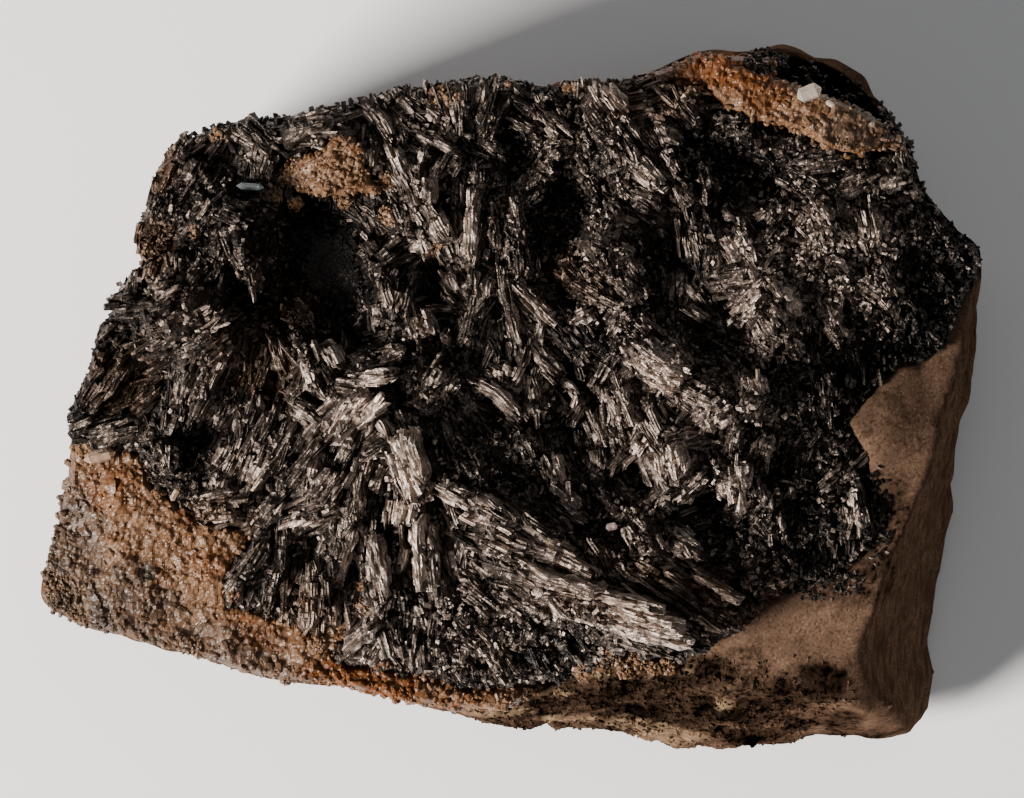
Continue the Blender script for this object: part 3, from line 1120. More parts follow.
@dataclass
class CrystalGrowth:
    """The betekhtinite: sheaves of striated laths, small crystals between them and their rough bed."""

    top: TopMap
    splinters: float = 0.5
    small_crystals: int = 3400
    crumbs: int = 12500
    rim_crumbs: int = 4
    outlier_floor: float = 12.0
    columns: tuple[float, ...] = (-26.0, -14.5, -4.5, 6.5, 17.0, 27.0)
    seed: int = 20
    outliers: tuple[tuple[Patch, int], ...] = (
        (Patch(33.0, 32.0, 5.0, 2.4, 0.0), 70), (Patch(39.0, 28.0, 2.4, 3.0, 0.25), 160),
        (Patch(41.5, 23.0, 2.6, 5.0, 0.1), 160), (Patch(45.0, 16.0, 1.6, 4.0, 0.1), 50),
        (Patch(36.4, -11.5, 1.6, 5.2, 0.05), 90), (Patch(31.0, -18.4, 4.4, 1.9, 0.05), 130),
        (Patch(25.4, 33.6, 2.4, 1.5, -0.1), 160),
    )

    bundles: list[Bundle] = field(init=False)
    bed: np.ndarray = field(init=False)
    raw: np.ndarray = field(init=False)
    lie: np.ndarray = field(init=False)
    chance: Chance = field(init=False)
    heaps: list[MeshPile] = field(init=False)

    def __post_init__(self) -> None:
        """Reads the bundles and the heights of the bed."""
        groups = (
            (BRIGHT_BUNDLES, Glow.BRIGHT), (LIT_BUNDLES, Glow.LIT), (PLAIN_BUNDLES, Glow.PLAIN),
            (DARK_BUNDLES, Glow.DARK),
        )
        self.bundles = [Bundle(*row, glow) for rows, glow in groups for row in rows]
        self.lie = heave(*self.top.centres())
        self.raw = blurred(self.top.heights, 1) + self.lie
        self.bed = blurred(self.top.heights, 5) + self.lie
        self.chance = np.random.default_rng(self.seed)
        self.heaps = [MeshPile() for _ in range(len(self.columns) + 1)]

    def heap_at(self, x: float) -> MeshPile:
        """The heap for a place along the slab."""
        return self.heaps[sum(x > edge for edge in self.columns)]

    def nearest(self, x: np.ndarray, y: np.ndarray) -> np.ndarray:
        """The number of the bundle whose body is nearest to each place.

        Args:
            x: places along the slab.
            y: places across the slab.

        Returns:
            one bundle number for each place.
        """
        best = np.full(len(x), np.inf)
        found = np.zeros(len(x), int)
        for number, bundle in enumerate(self.bundles):
            turn = math.radians(bundle.heading)
            dx, dy = x - bundle.x, y - bundle.y
            run = np.abs(dx * math.cos(turn) + dy * math.sin(turn)) - bundle.length / 2
            off = np.abs(dy * math.cos(turn) - dx * math.sin(turn)) - bundle.width / 2
            gap = np.hypot(np.maximum(run, 0), np.maximum(off, 0)) + 0.2 * np.minimum(np.maximum(run, off), 0)
            closer = gap < best
            best[closer] = gap[closer]
            found[closer] = number
        return found

    def fits(self, x: float, y: float, heading: float, length: float) -> float:
        """The length of a lath that doesn't reach past the crystals' edge.

        Args:
            x: its middle along the slab.
            y: its middle across the slab.
            heading: its direction in radians.
            length: the length that it would like.

        Returns:
            a length that fits, or nought where its middle is off the crystals.
        """
        if not np.isfinite(self.top.at(self.raw, x, y)):
            return 0.0
        while length > 0.5:
            ends = [s * (length / 2 - 0.5) for s in (-1, 1)]
            dx, dy = math.cos(heading), math.sin(heading)
            heights = [self.top.at(self.raw, x + e * dx, y + e * dy) for e in ends]
            if np.isfinite(heights).all():
                return length
            length *= 0.8
        return length

    def grow_bundle(self, bundle: Bundle) -> None:
        """Builds one bundle of fused laths, with splinters on it.

        Args:
            bundle: the bundle.
        """
        chance = self.chance
        turn = math.radians(bundle.heading)
        across = np.array([-math.sin(turn), math.cos(turn)])
        along = np.array([math.cos(turn), math.sin(turn)])
        lie = float(self.top.at(self.lie, bundle.x, bundle.y))
        shade = bundle.glow.tone + 0.2 * lie
        tilt = math.radians(bundle.glow.tilt + 7 * lie + chance.uniform(-5, 5))
        lean = tilt * float(across @ LIGHT_SIDE)
        nose = -tilt * float(along @ LIGHT_SIDE) * 0.6
        solid = self.top.at(self.raw, bundle.x, bundle.y)
        if not np.isfinite(solid):
            return
        crest = solid + (0.2 if bundle.width >= 1.4 else 0.75 * bundle.rise)
        heap = self.heap_at(bundle.x)
        parts = max(1, round(bundle.width / 1.15))
        for i in range(parts):
            offset = ((i + 0.5) / parts - 0.5) * bundle.width
            length = bundle.length * (chance.uniform(0.7, 1.05) if parts > 1 else 1.0)
            shift = (bundle.length - length) * chance.uniform(-0.5, 0.5)
            place = np.array([bundle.x, bundle.y]) + across * offset + along * shift
            heading = turn + math.radians(chance.normal(0, 2.2))
            length = self.fits(place[0], place[1], heading, length)
            if length <= 0:
                continue
            step = 0.0 if parts == 1 else chance.normal(0, 0.28)
            crown = -0.35 * (2 * offset / bundle.width) ** 2
            z = crest + crown + step - offset * math.tan(lean) + shift * math.tan(nose)
            sheaf = Sheaf(
                centre=np.array([place[0], place[1], z]),
                heading=heading,
                pitch=nose + math.radians(chance.normal(0, 2.0)),
                roll=-lean + math.radians(chance.normal(0, 7)),
                length=length,
                width=bundle.width / parts * chance.uniform(0.95, 1.25),
                depth=min(2.4, 1.2 + 0.5 * bundle.rise),
                tone=0.3 + shade * 0.55,
            )
            habit = self.habit_at(place[0], place[1])
            if habit is not Habit.FIBROUS:
                sheaf.break_length = 0.55
                sheaf.break_depth = 0.3
                sheaf.lumpiness = 0.24
            if habit is Habit.CRUMBLY:
                sheaf.lumpiness = 0.4
                sheaf.tone -= 0.12
                sheaf.heading += math.radians(chance.normal(0, 14))
            sheaf.pile(heap, chance)
        for _ in range(round(self.splinters * bundle.width * bundle.length)):
            offset = chance.uniform(-0.55, 0.55) * bundle.width
            shift = chance.uniform(-0.5, 0.5) * bundle.length
            place = np.array([bundle.x, bundle.y]) + across * offset + along * shift
            length = self.fits(place[0], place[1], turn, min(0.8 * bundle.length, chance.uniform(0.6, 2.6)))
            if length <= 0:
                continue
            z = crest - offset * math.tan(lean) + shift * math.tan(nose) + chance.uniform(-0.35, 0.22)
            Lath(
                centre=np.array([place[0], place[1], z]),
                heading=turn + math.radians(chance.normal(0, 6)),
                pitch=nose + math.radians(chance.normal(0, 5)),
                roll=-lean + math.radians(chance.normal(0, 16)),
                length=length,
                width=chance.uniform(0.18, 0.5),
                depth=0.7,
                tone=0.32 + shade * 0.6 + chance.normal(0, 0.1),
            ).pile(heap, chance)

    def habit_at(self, x: float, y: float) -> Habit:
        """How small crystals grow at a place."""
        for patch, habit in HABIT_ZONES:
            reach = ((x - patch.x) / patch.rx) ** 2 + ((y - patch.y) / patch.ry) ** 2
            if reach < self.chance.uniform(0.6, 1.1):
                return habit
        return Habit.FIBROUS

    def grow_small(self) -> None:
        """Covers the bed between the bundles with small crystals that follow them."""
        chance = self.chance
        _, xs, ys = self.top.scattered(self.small_crystals, chance)
        owner = self.nearest(xs, ys)
        for x, y, number in zip(xs, ys, owner):
            habit = self.habit_at(x, y)
            loose, length, width = habit.value
            if habit is Habit.MASSIVE and chance.uniform() < 0.6:
                continue
            bundle = self.bundles[number]
            heading = math.radians(bundle.heading + chance.normal(0, 50 * loose + 5))
            length = self.fits(x, y, heading, length * chance.uniform(0.45, 1.35))
            height = self.top.at(self.bed, x, y)
            if length <= 0 or not np.isfinite(height):
                continue
            z = min(self.top.at(self.raw, x, y), height + 0.9) + chance.uniform(-0.3, 0.5)
            lie = float(self.top.at(self.lie, x, y))
            shade = 0.25 * max(bundle.glow.tone, -0.3) * (1 - loose) + 0.14 * lie
            tone = 0.24 + chance.normal(0, 0.1) + shade
            kind = Sheaf if chance.uniform() < 0.55 - 0.35 * loose else Lath
            crystal = kind(
                centre=np.array([x, y, z]),
                heading=heading,
                pitch=math.radians(chance.normal(0, 6 + 16 * loose)),
                roll=math.radians(chance.normal(2, 12 + 12 * loose)),
                length=length,
                width=width * chance.uniform(0.5, 1.4),
                depth=chance.uniform(0.6, 1.1),
                tone=tone,
            )
            if isinstance(crystal, Sheaf):
                crystal.width *= 2.0
                crystal.spacing = 0.2
                crystal.ring_spacing = 0.55
            crystal.pile(self.heap_at(x), chance)

    def crumb(self, x: float, y: float, z: float, tone: float) -> None:
        """Adds one tiny flat-faced crystal.

        Args:
            x: its place along the slab.
            y: its place across the slab.
            z: its height.
            tone: how pale it is.
        """
        chance = self.chance
        corners, faces = crumb_form(chance)
        turns = axes_of(chance.uniform(0, math.tau), chance.normal(0, 0.5), chance.normal(0, 0.6))
        own = chance.uniform(0, 60)
        places = np.array([x, y, z]) + corners @ np.stack(turns)
        self.heap_at(x).add(places, faces, corners + np.array([own, 0, own]), np.full(8, tone))

    def grow_crumbs(self) -> None:
        """Strews tiny crystals over the rough places, in clumps."""
        chance = self.chance
        picked, xs, ys = self.top.scattered(self.crumbs, chance)
        clumps = roughness(np.stack([xs, ys, np.full(len(xs), 3.0)], axis=1), 1.5, 2, 41)
        for (i, j), x, y, clump in zip(picked, xs, ys, clumps):
            habit = self.habit_at(x, y)
            if chance.uniform() < (0.6 if habit is Habit.FIBROUS else 0.1) - 0.5 * clump:
                continue
            z = self.raw[i, j] + chance.uniform(-0.2, 0.35) + 0.35 * max(0.0, clump)
            tone = 0.4 if habit is Habit.CRUMBLY else 0.32
            self.crumb(x, y, z, tone + chance.normal(0, 0.17) + 0.16 * self.lie[i, j])

    def grow_rim(self) -> None:
        """Lets tiny crystals hang over the edge of the crystals' ground and down its wall."""
        chance = self.chance
        for i, j in self.top.rim_cells():
            top = float(self.top.heights[i, j])
            for _ in range(self.rim_crumbs):
                x, y = self.top.near_cell(i, j, -0.3, 1.3, chance)
                foot = max(LOWEST_GRAIN, top - 0.6 - (top - LOWEST_GRAIN) * chance.uniform() ** 1.3)
                out = 1.0 + chance.uniform(-0.002, 0.007)
                self.crumb(x * out, y * out, foot, 0.1 + chance.normal(0, 0.1))

    def grow_outliers(self, grounds: list[TopMap]) -> None:
        """Strews tiny crystals over the shaded rock and quartz beside the crystals.

        Args:
            grounds: the heights of what they lie on, one map for each solid.
        """
        chance = self.chance
        for patch, count in self.outliers:
            for _ in range(count):
                turn, reach = chance.uniform(0, math.tau), math.sqrt(chance.uniform())
                x = patch.x + patch.rx * reach * math.cos(turn)
                y = patch.y + patch.ry * reach * math.sin(turn)
                heights = [float(ground.at(ground.heights, x, y)) for ground in grounds]
                height = max((value for value in heights if math.isfinite(value)), default=math.nan)
                if math.isfinite(height) and height > self.outlier_floor:
                    z = height + chance.uniform(-0.1, 0.15)
                    self.crumb(x, y, z, patch.amount + chance.normal(0, 0.12))

    def build_bed(self) -> Piece:
        """The rough, fibrous mass that the crystals stand in."""
        relief = Relief(self.top, smoothing=1, lowered=0.5, rim_drop=0.9)
        points, faces, rim = relief.grid()
        owner = self.nearest(points[:, 0], points[:, 1])
        turns = np.radians([self.bundles[n].heading for n in owner])
        dx = points[:, 0] - np.array([self.bundles[n].x for n in owner])
        dy = points[:, 1] - np.array([self.bundles[n].y for n in owner])
        run = dx * np.cos(turns) + dy * np.sin(turns)
        off = dy * np.cos(turns) - dx * np.sin(turns)
        grain = np.stack([run * 0.45, off * 2.2, owner * 3.7], axis=1)
        massive = sum(
            patch.share(points[:, 0], points[:, 1]) for patch, habit in HABIT_ZONES if habit is Habit.MASSIVE
        )
        rough = 0.4 * roughness(grain, 1.0, 3, 5) + 0.36 * roughness(points, 1.0, 3, 8)
        rough += np.minimum(massive, 1.0) * (0.35 + 0.8 * roughness(points, 3.0, 2, 9))
        rough[rim] *= 0.4
        lie = heave(points[:, 0], points[:, 1])
        points[:, 2] = np.maximum(points[:, 2] + rough + lie, LOWEST_BED)
        heap = MeshPile()
        low = np.clip((31.0 - points[:, 2]) / 5.0, 0.0, 1.0)
        tone = 0.16 - 0.22 * low + 0.1 * roughness(points, 2.0, 2, 6) + 0.08 * lie
        heap.add(points, faces, np.stack([run, off, owner * 3.7], axis=1), tone)
        made = heap.make("betekhtinite_bed", RUST_PATCHES, TONES)
        relief.close(made)
        return made

    @staticmethod
    def mark_crumbly(piece: Piece) -> None:
        """Stores how crumbly each point of a piece is."""
        places = places_of(piece.data)
        rubble = tuple(patch for patch, habit in HABIT_ZONES if habit is not Habit.MASSIVE)
        value = np.maximum(0.25 + 0.3 * roughness(places, 3.0, 2, 23), strongest(rubble, places))
        MeshPile.paint(piece.data, "crumbly", np.clip(value, 0.0, 1.0))

    def build(self, grounds: list[TopMap], finish: Material) -> list[Piece]:
        """Grows all the crystals.

        Args:
            grounds: the heights of the rock and quartz beside them.
            finish: the material of every piece.

        Returns:
            the pieces.
        """
        for bundle in self.bundles:
            self.grow_bundle(bundle)
        self.grow_small()
        self.grow_crumbs()
        self.grow_rim()
        self.grow_outliers(grounds)
        pieces = [self.build_bed()]
        for number, heap in enumerate(self.heaps):
            pieces.append(heap.make(f"betekhtinite_laths_{number + 1}", RUST_PATCHES, TONES))
        for piece in pieces:
            self.mark_crumbly(piece)
            piece.data.materials.append(finish)
            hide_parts(CRYSTALS)
            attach(piece, BODY)
        return pieces


def quartz_form(stubby: float, tip: float) -> tuple[np.ndarray, Faces]:
    """A six-sided quartz crystal with a pyramid at each end, one long.

    Args:
        stubby: its width.
        tip: the share of its length that each pyramid takes.

    Returns:
        its points and faces.
    """
    turns = [k * math.tau / 6 for k in range(6)]
    ring = [(math.cos(turn) * stubby / 2, math.sin(turn) * stubby / 2) for turn in turns]
    points = [(0.0, 0.0, -0.5)]
    points += [(x, y, -0.5 + tip) for x, y in ring]
    points += [(x, y, 0.5 - tip) for x, y in ring]
    points.append((0.0, 0.0, 0.5))
    faces: Faces = []
    for k in range(6):
        n = (k + 1) % 6
        faces.append((0, 1 + n, 1 + k))
        faces.append((1 + k, 1 + n, 7 + n, 7 + k))
        faces.append((7 + k, 7 + n, 13))
    return np.array(points), faces


def crumb_form(chance: Chance, scale: float = 1.0) -> tuple[np.ndarray, Faces]:
    """A tiny uneven flake with flat faces.

    Args:
        chance: the source of its shape.
        scale: how much larger than the usual half a millimetre it is.

    Returns:
        its points round the origin, in millimetres, and its faces.
    """
    ranges = ((0.25, 0.8), (0.18, 0.42), (0.12, 0.3))
    size = np.array([chance.uniform(low, high) for low, high in ranges]) * scale
    corners = np.array([(a, b, c) for a in (-1, 1) for b in (-1, 1) for c in (-1, 1)]) * size / 2
    corners *= 1 + chance.uniform(-0.3, 0.3, (8, 3))
    faces = [(0, 1, 3, 2), (4, 6, 7, 5), (0, 4, 5, 1), (2, 3, 7, 6), (0, 2, 6, 4), (1, 5, 7, 3)]
    return corners, faces


def turned(chance: Chance) -> np.ndarray:
    """A random turn, as a three by three matrix."""
    basis, _ = np.linalg.qr(chance.normal(0, 1, (3, 3)))
    return basis * np.sign(np.linalg.det(basis))


@dataclass
class SugaryQuartz:
    """One crust of quartz: small crystals fused side by side, with loose grains on them."""

    node: str
    crystals_per_mm2: float = 5.0
    coarseness: float = 1.0
    grains_per_mm2: float = 0.6
    grain: tuple[float, float] = (0.5, 1.5)
    paleness: float = 0.5
    seed: int = 3

    def strew(self, heap: MeshPile, x: float, y: float, z: float, chance: Chance) -> None:
        """Adds one grain to a heap.

        Args:
            heap: what it is added to.
            x: its place along the slab.
            y: its place across the slab.
            z: the height of the ground under it.
            chance: the source of its size and turn.
        """
        small, large = self.grain
        size = small + (large - small) * chance.uniform() ** 2
        points, faces = quartz_form(chance.uniform(0.35, 0.7), chance.uniform(0.14, 0.3))
        points = points * (1 + chance.uniform(-0.12, 0.12, points.shape))
        size *= self.coarseness
        places = points @ turned(chance) * size + np.array([x, y, z + size * chance.uniform(-0.3, -0.05)])
        tone = np.full(len(points), self.paleness + chance.normal(0, 0.24))
        heap.add(places, faces, points + chance.uniform(0, 30), tone)

    def crystal_heights(
        self, points: np.ndarray, chance: Chance
    ) -> tuple[np.ndarray, np.ndarray]:
        """Heights of many tilted six-sided points grown into each other.

        Args:
            points: the places of the crust's surface.
            chance: the source of the crystals.

        Returns:
            for each place the height above the surface, and the tone of the crystal that is highest there.
        """
        low, high = points[:, :2].min(axis=0), points[:, :2].max(axis=0)
        count = round(float(np.prod(high - low)) * self.crystals_per_mm2)
        heights = np.full(len(points), -0.22)
        tones = np.full(len(points), self.paleness)
        order = np.argsort(points[:, 0])
        sorted_x = points[order, 0]
        for _ in range(count):
            middle = low + chance.uniform(0, 1, 2) * (high - low)
            reach = (0.32 + 0.7 * chance.uniform() ** 1.8) * self.coarseness
            span = slice(*np.searchsorted(sorted_x, (middle[0] - reach - 0.6, middle[0] + reach + 0.6)))
            near = order[span]
            gap = points[near, :2] - middle
            inside = np.hypot(gap[:, 0], gap[:, 1]) < reach + 0.6
            near, gap = near[inside], gap[inside]
            if not len(near):
                continue
            first = chance.uniform(0, math.tau / 6)
            turns = [first + k * math.tau / 6 for k in range(6)]
            sides = np.array([(math.cos(turn), math.sin(turn)) for turn in turns])
            faces = gap @ sides.T - chance.uniform(-0.12, 0.12, 6) * reach
            lean = chance.normal(0, 0.28, 2)
            height = 0.45 * reach - chance.uniform(0.7, 1.3) * faces.max(axis=1) + gap @ lean
            higher = height > heights[near]
            heights[near[higher]] = height[higher]
            tones[near[higher]] = self.paleness + chance.normal(0, 0.2)
        return heights, tones

    def build(self, finish: Material) -> list[Piece]:
        """Builds the crust.

        Args:
            finish: its material.

        Returns:
            the fused crystals and the loose grains.
        """
        chance = np.random.default_rng(self.seed)
        top = TopMap(self.node, cell=0.17)
        relief = Relief(top, smoothing=5, lowered=0.35, rim_drop=0.6)
        points, faces, rim = relief.grid()
        rough = 0.45 * roughness(points, 2.6, 3, 31)
        heights, tones = self.crystal_heights(points, chance)
        rough += np.minimum(heights, 0.75)
        rough[rim] = np.minimum(rough[rim], 0.1)
        points[:, 2] += rough
        base = MeshPile()
        base.add(points, faces, points.copy(), tones + 0.5 * (heights - 0.1))
        ground = base.make(f"{self.node}_ground", IRON_STAINS)
        relief.close(ground)
        known = np.argwhere(np.isfinite(top.heights))
        smooth = blurred(top.heights, 5)
        heap = MeshPile()
        for _ in range(round(len(known) * top.cell**2 * self.grains_per_mm2)):
            i, j = known[chance.integers(0, len(known))]
            x, y = top.near_cell(i, j, -0.5, 1.5, chance)
            lump = 0.45 * float(roughness(np.array([[x, y, smooth[i, j]]]), 2.6, 3, 31)[0])
            self.strew(heap, x, y, smooth[i, j] - 0.1 + lump, chance)
        self.dress_rim(heap, top, chance)
        grains = heap.make(f"{self.node}_grains", IRON_STAINS)
        for piece in (ground, grains):
            soil(piece, GREY_RIM)
            piece.data.materials.append(finish)
            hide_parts(self.node)
            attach(piece, BODY)
        return [ground, grains]

    def dress_rim(self, heap: MeshPile, top: TopMap, chance: Chance) -> None:
        """Strews grains down the crust's outer edge.

        Args:
            heap: what they are added to.
            top: the crust's heights.
            chance: the source of their places.
        """
        for i, j in top.rim_cells():
            x, y = top.near_cell(i, j, -1.5, 2.5, chance)
            x, y = x * RIM_PULL, y * RIM_PULL
            fall = 4.2 * chance.uniform() ** 1.3
            self.strew(heap, x, y, max(LOWEST_GRAIN, top.heights[i, j] - 0.35 - fall), chance)
            inward = 1.0 - chance.uniform(0.004, 0.04)
            height = float(top.at(top.heights, x * inward, y * inward))
            if math.isfinite(height) and chance.uniform() < 0.6:
                self.strew(heap, x * inward, y * inward, height - 0.15, chance)


CLEAN_NOISE = 0.12
"""How strong the dirt's own patches are where there is no other dirt."""


def soil(
    piece: Piece,
    patches: Patches,
    noise_size: float = 2.4,
    noise: float = 0.3,
    fade: Callable[[np.ndarray], np.ndarray] | None = None,
) -> None:
    """Stores how dirty each point of a piece is.

    Args:
        piece: the piece.
        patches: where it is dirty, above one where it is black.
        noise_size: the size of the dirt's own patches.
        noise: how strong they are inside the patches.
        fade: gives the share of the patches that each place keeps.
    """
    places = places_of(piece.data)
    dirt = strongest(patches, places)
    if fade:
        dirt *= fade(places)
    dirt += np.where(dirt > 0, noise, CLEAN_NOISE) * roughness(places, noise_size, 3, 57)
    MeshPile.paint(piece.data, "dirt", np.clip(dirt, 0.0, 2.0))


@dataclass
class QuartzSpecks:
    """Knots of quartz grains that show between the betekhtinite crystals."""

    tops: list[TopMap]
    seed: int = 12

    def height(self, x: float, y: float) -> float:
        """The highest solid at a place, or nan."""
        found = [float(top.at(top.heights, x, y)) for top in self.tops]
        found = [height for height in found if math.isfinite(height)]
        return max(found) if found else math.nan

    def build(self, finish: Material) -> list[Piece]:
        """Builds the knots.

        Args:
            finish: their material.

        Returns:
            the one piece that they make.
        """
        chance = np.random.default_rng(self.seed)
        grower = SugaryQuartz("", coarseness=0.62, paleness=0.75)
        heap = MeshPile()
        for x, y, radius in QUARTZ_SPECKS:
            for _ in range(round(50 * radius * radius + 12)):
                turn, reach = chance.uniform(0, math.tau), radius * math.sqrt(chance.uniform())
                px, py = x + reach * math.cos(turn), y + reach * math.sin(turn)
                height = self.height(px, py)
                if math.isfinite(height):
                    dome = 0.5 * (1 - (reach / radius) ** 2)
                    grower.strew(heap, px, py, height + dome - 0.1, chance)
        piece = heap.make("quartz_specks", IRON_STAINS)
        soil(piece, GREY_RIM)
        piece.data.materials.append(finish)
        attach(piece, BODY)
        return [piece]


@dataclass
class ClearCrystal:
    """One larger quartz crystal that stands out from the grains."""

    name: str
    x: float
    y: float
    length: float
    width: float
    heading: float
    pitch: float = 8.0
    lift: float = 0.5
    wear: float = 0.04

    def build(self, specks: QuartzSpecks, finish: Material) -> Piece:
        """Builds the crystal.

        Args:
            specks: what knows the heights of the solids.
            finish: its material.

        Returns:
            the crystal.
        """
        form, faces = quartz_form(self.width / self.length, 0.2)
        along, across, above = axes_of(math.radians(self.heading), math.radians(self.pitch), 0.35)
        height = specks.height(self.x, self.y)
        height = 30.0 if math.isnan(height) else height
        flat = form * np.array([1.0, 0.78, 1.0]) * self.length
        places = flat @ np.stack([across, above, along]) + np.array([self.x, self.y, height + self.lift])
        heap = MeshPile()
        heap.add(places, faces, form, np.full(len(form), 0.6))
        made = heap.make(self.name)
        edges = made.modifiers.new("worn edges", "BEVEL")
        edges.width = self.wear * MM
        edges.segments = 3
        made.data.materials.append(finish)
        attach(made, BODY)
        return made


@dataclass
class Sandstone:
    """The slab of sandstone, smooth and sandy, with a dark crumbly crust along its lower face."""

    voxel: float = 0.6
    crumbs: int = 5000
    stains: Patches = ovals((20, 34.5, 6, 2, 0.5), (-14, -29.5, 7, 1.6, 0.7))
    shades: Patches = ovals(
        (33.5, 33.5, 10, 6.4, 1.8), (40.5, 25, 4.6, 6, 1.8), (44.4, 17, 3.6, 5.4, 1.6),
        (14, -30.4, 15, 4.6, 0.8), (25, -31.4, 7.6, 4.6, 0.8), (31, -28.4, 2.6, 2.1, 1.15),
        (19.4, -27.4, 3.8, 1.8, 1.05), (18, -31.2, 10, 2, 1.1), (31, -34.9, 11, 1.3, 1.3),
        (33.2, -32.4, 2.2, 1.5, 0.9), (8, -29.4, 4.4, 1.2, 1), (26.4, -30, 4.4, 1.6, 1.05),
        (33, -17.6, 5.4, 3, 0.5), (37.6, -9.6, 1.8, 6, 0.45), (-36, -25.6, 11, 1.6, 0.6),
        (2, -31, 9, 3.2, 0.8), (-22, 30.6, 26, 5, 1.2), (8, 33, 12, 3.4, 1.2), (-43, 8, 6, 13, 0.95),
        (-37, 23, 5, 7, 0.95), (38, -4, 3, 5, 0.2), (-24, -29, 12, 2.4, 0.5), (36, -35, 8, 1.8, 0.85),
        (-47, -18, 4, 6, 0.4), (27.6, -29, 4, 1.2, 0.8), (46, -4, 1.2, 12, 0.35),
        (24, -25.4, 3.4, 0.8, 0.35),
    )
    lenses: Patches = ovals(
        (15.8, -33.9, 3.4, 1, 0.5), (5.3, -32.1, 3.4, 0.35, 0.5), (21.2, -30.4, 0.8, 0.7, 0.4),
        (12.4, -32.6, 3, 0.5, 0.4), (-2, -31, 4, 0.8, 0.35), (11, -27, 6, 0.9, 0.5),
        (3, -29.2, 3, 0.6, 0.4),
    )
    crusted: Patch = Patch(14.0, -31.0, 17.0, 5.4, 1.0)

    def shown(self, places: np.ndarray) -> np.ndarray:
        """Lets the colours of the upper face fade out down the side walls.

        Args:
            places: the places in millimetres.

        Returns:
            the share of the colours that each place keeps.
        """
        x, y = places[:, 0], places[:, 1]
        near = np.clip((-25.0 - y) / 3.0, 0.0, 1.0) * np.clip((x + 10.0) / 6.0, 0.0, 1.0)
        right = np.clip((x - 28.0) / 4.0, 0.0, 1.0)
        height = places[:, 2] + np.maximum(14.0 * near, 7.0 * right) + 2.0 * roughness(places, 5.0, 2, 67)
        return np.clip((height - 17.0) / 6.0, 0.0, 1.0)

    def even_mesh(self) -> bpy.types.Mesh:
        """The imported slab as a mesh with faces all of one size."""
        source = bpy.data.objects.new("sandstone_source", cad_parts[ROCK].data.copy())
        bpy.context.scene.collection.objects.link(source)
        remesh = source.modifiers.new("even mesh", "REMESH")
        remesh.mode = "VOXEL"
        remesh.voxel_size = self.voxel * MM
        ease = source.modifiers.new("eased", "SMOOTH")
        ease.factor = 0.5
        ease.iterations = 4
        bpy.context.view_layer.update()
        graph = bpy.context.evaluated_depsgraph_get()
        mesh = bpy.data.meshes.new_from_object(source.evaluated_get(graph))
        bpy.data.objects.remove(source)
        mesh.name = "sandstone"
        return mesh

    def build(self, finish: Material) -> list[Piece]:
        """Builds the slab.

        Args:
            finish: its material.

        Returns:
            the slab and the crumbs of its crust.
        """
        mesh = self.even_mesh()
        places = places_of(mesh)
        normals = np.empty(places.size)
        mesh.vertices.foreach_get("normal", normals)
        normals = normals.reshape(-1, 3)
        side = 1 - np.abs(normals[:, 2])
        crust = self.crusted.share(places[:, 0], places[:, 1])
        push = 0.24 * roughness(places, 5.0, 3, 61) + 0.3 * side * roughness(places, 4.0, 2, 73)
        push += crust * (0.7 * roughness(places * np.array([0.5, 1.0, 1.0]), 2.4, 2, 71))
        push += crust * 0.5 * roughness(places, 1.5, 2, 79)
        push = np.clip(push, -1.4, 0.9)
        foot = np.clip(places[:, 2] / 0.8, 0.0, 1.0)
        places += normals * (push * foot)[:, None]
        places[:, 2] = np.maximum(places[:, 2], 0.0)
        mesh.vertices.foreach_set("co", (places * MM).ravel())
        mesh.update()
        mesh.shade_smooth()
        made = bpy.data.objects.new("sandstone", mesh)
        bpy.context.scene.collection.objects.link(made)
        for name, patches, size in (("tint", self.stains, 1.6), ("cream", self.lenses, 0.9)):
            value = strongest(patches, places) * self.shown(places)
            value = np.clip(value + np.sign(value) * 0.4 * roughness(places, size, 3, 83), 0.0, 1.0)
            MeshPile.paint(mesh, name, value)
        MeshPile.paint(mesh, "streaky", np.clip((normals[:, 0] - 0.25) * 2.5, 0.0, 1.0))
        soil(made, self.shades, 2.2, 0.5, self.shown)
        made.data.materials.clear()
        pieces = [made, self.crumble(mesh)]
        for piece in pieces:
            piece.data.materials.append(finish)
            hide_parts(ROCK)
            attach(piece, BODY)
        return pieces

    def crumble(self, mesh: bpy.types.Mesh) -> Piece:
        """Covers the crusted face with crumbs of dark matrix and a few pale grains.

        Args:
            mesh: the slab's mesh.

        Returns:
            the crumbs as one piece.
        """
        chance = np.random.default_rng(31)
        tree = tree_of(mesh)
        heap = MeshPile()
        zone = self.crusted
        for number in range(self.crumbs):
            x = chance.uniform(zone.x - 1.25 * zone.rx, zone.x + 1.25 * zone.rx)
            if number % 3:
                y = chance.uniform(-37.0, -25.5)
                hit, normal, _, _ = tree.ray_cast(Vector((x, y, 60.0)) * MM, Vector((0, 0, -1)))
            else:
                start = Vector((x, -60.0, chance.uniform(4.0, 27.0))) * MM
                hit, normal, _, _ = tree.ray_cast(start, Vector((0, 1, 0)))
            if hit is None:
                continue
            place = np.array(hit) / MM
            cover = float(zone.share(place[0], place[1]))
            clump = float(roughness(np.array([place]), 1.8, 2, 45)[0])
            if chance.uniform() > cover + 0.3 * clump:
                continue
            corners, faces = crumb_form(chance, chance.uniform(0.7, 1.25))
            paleness = max(float(lens.share(place[0], place[1])) for lens in self.lenses)
            pale = paleness + 0.25 * float(roughness(np.array([place]), 1.1, 2, 47)[0]) > 0.35
            tone = chance.uniform(0.2, 0.7) if pale else 0.0
            inward = -0.12 * np.array(normal)
            heap.add(place + inward + corners @ turned(chance), faces, corners, np.full(8, tone))
        made = heap.make("sandstone_crust")
        soil(made, self.shades, 2.2, 0.5, self.shown)
        MeshPile.paint(made.data, "cream", np.concatenate(heap.tones))
        return made


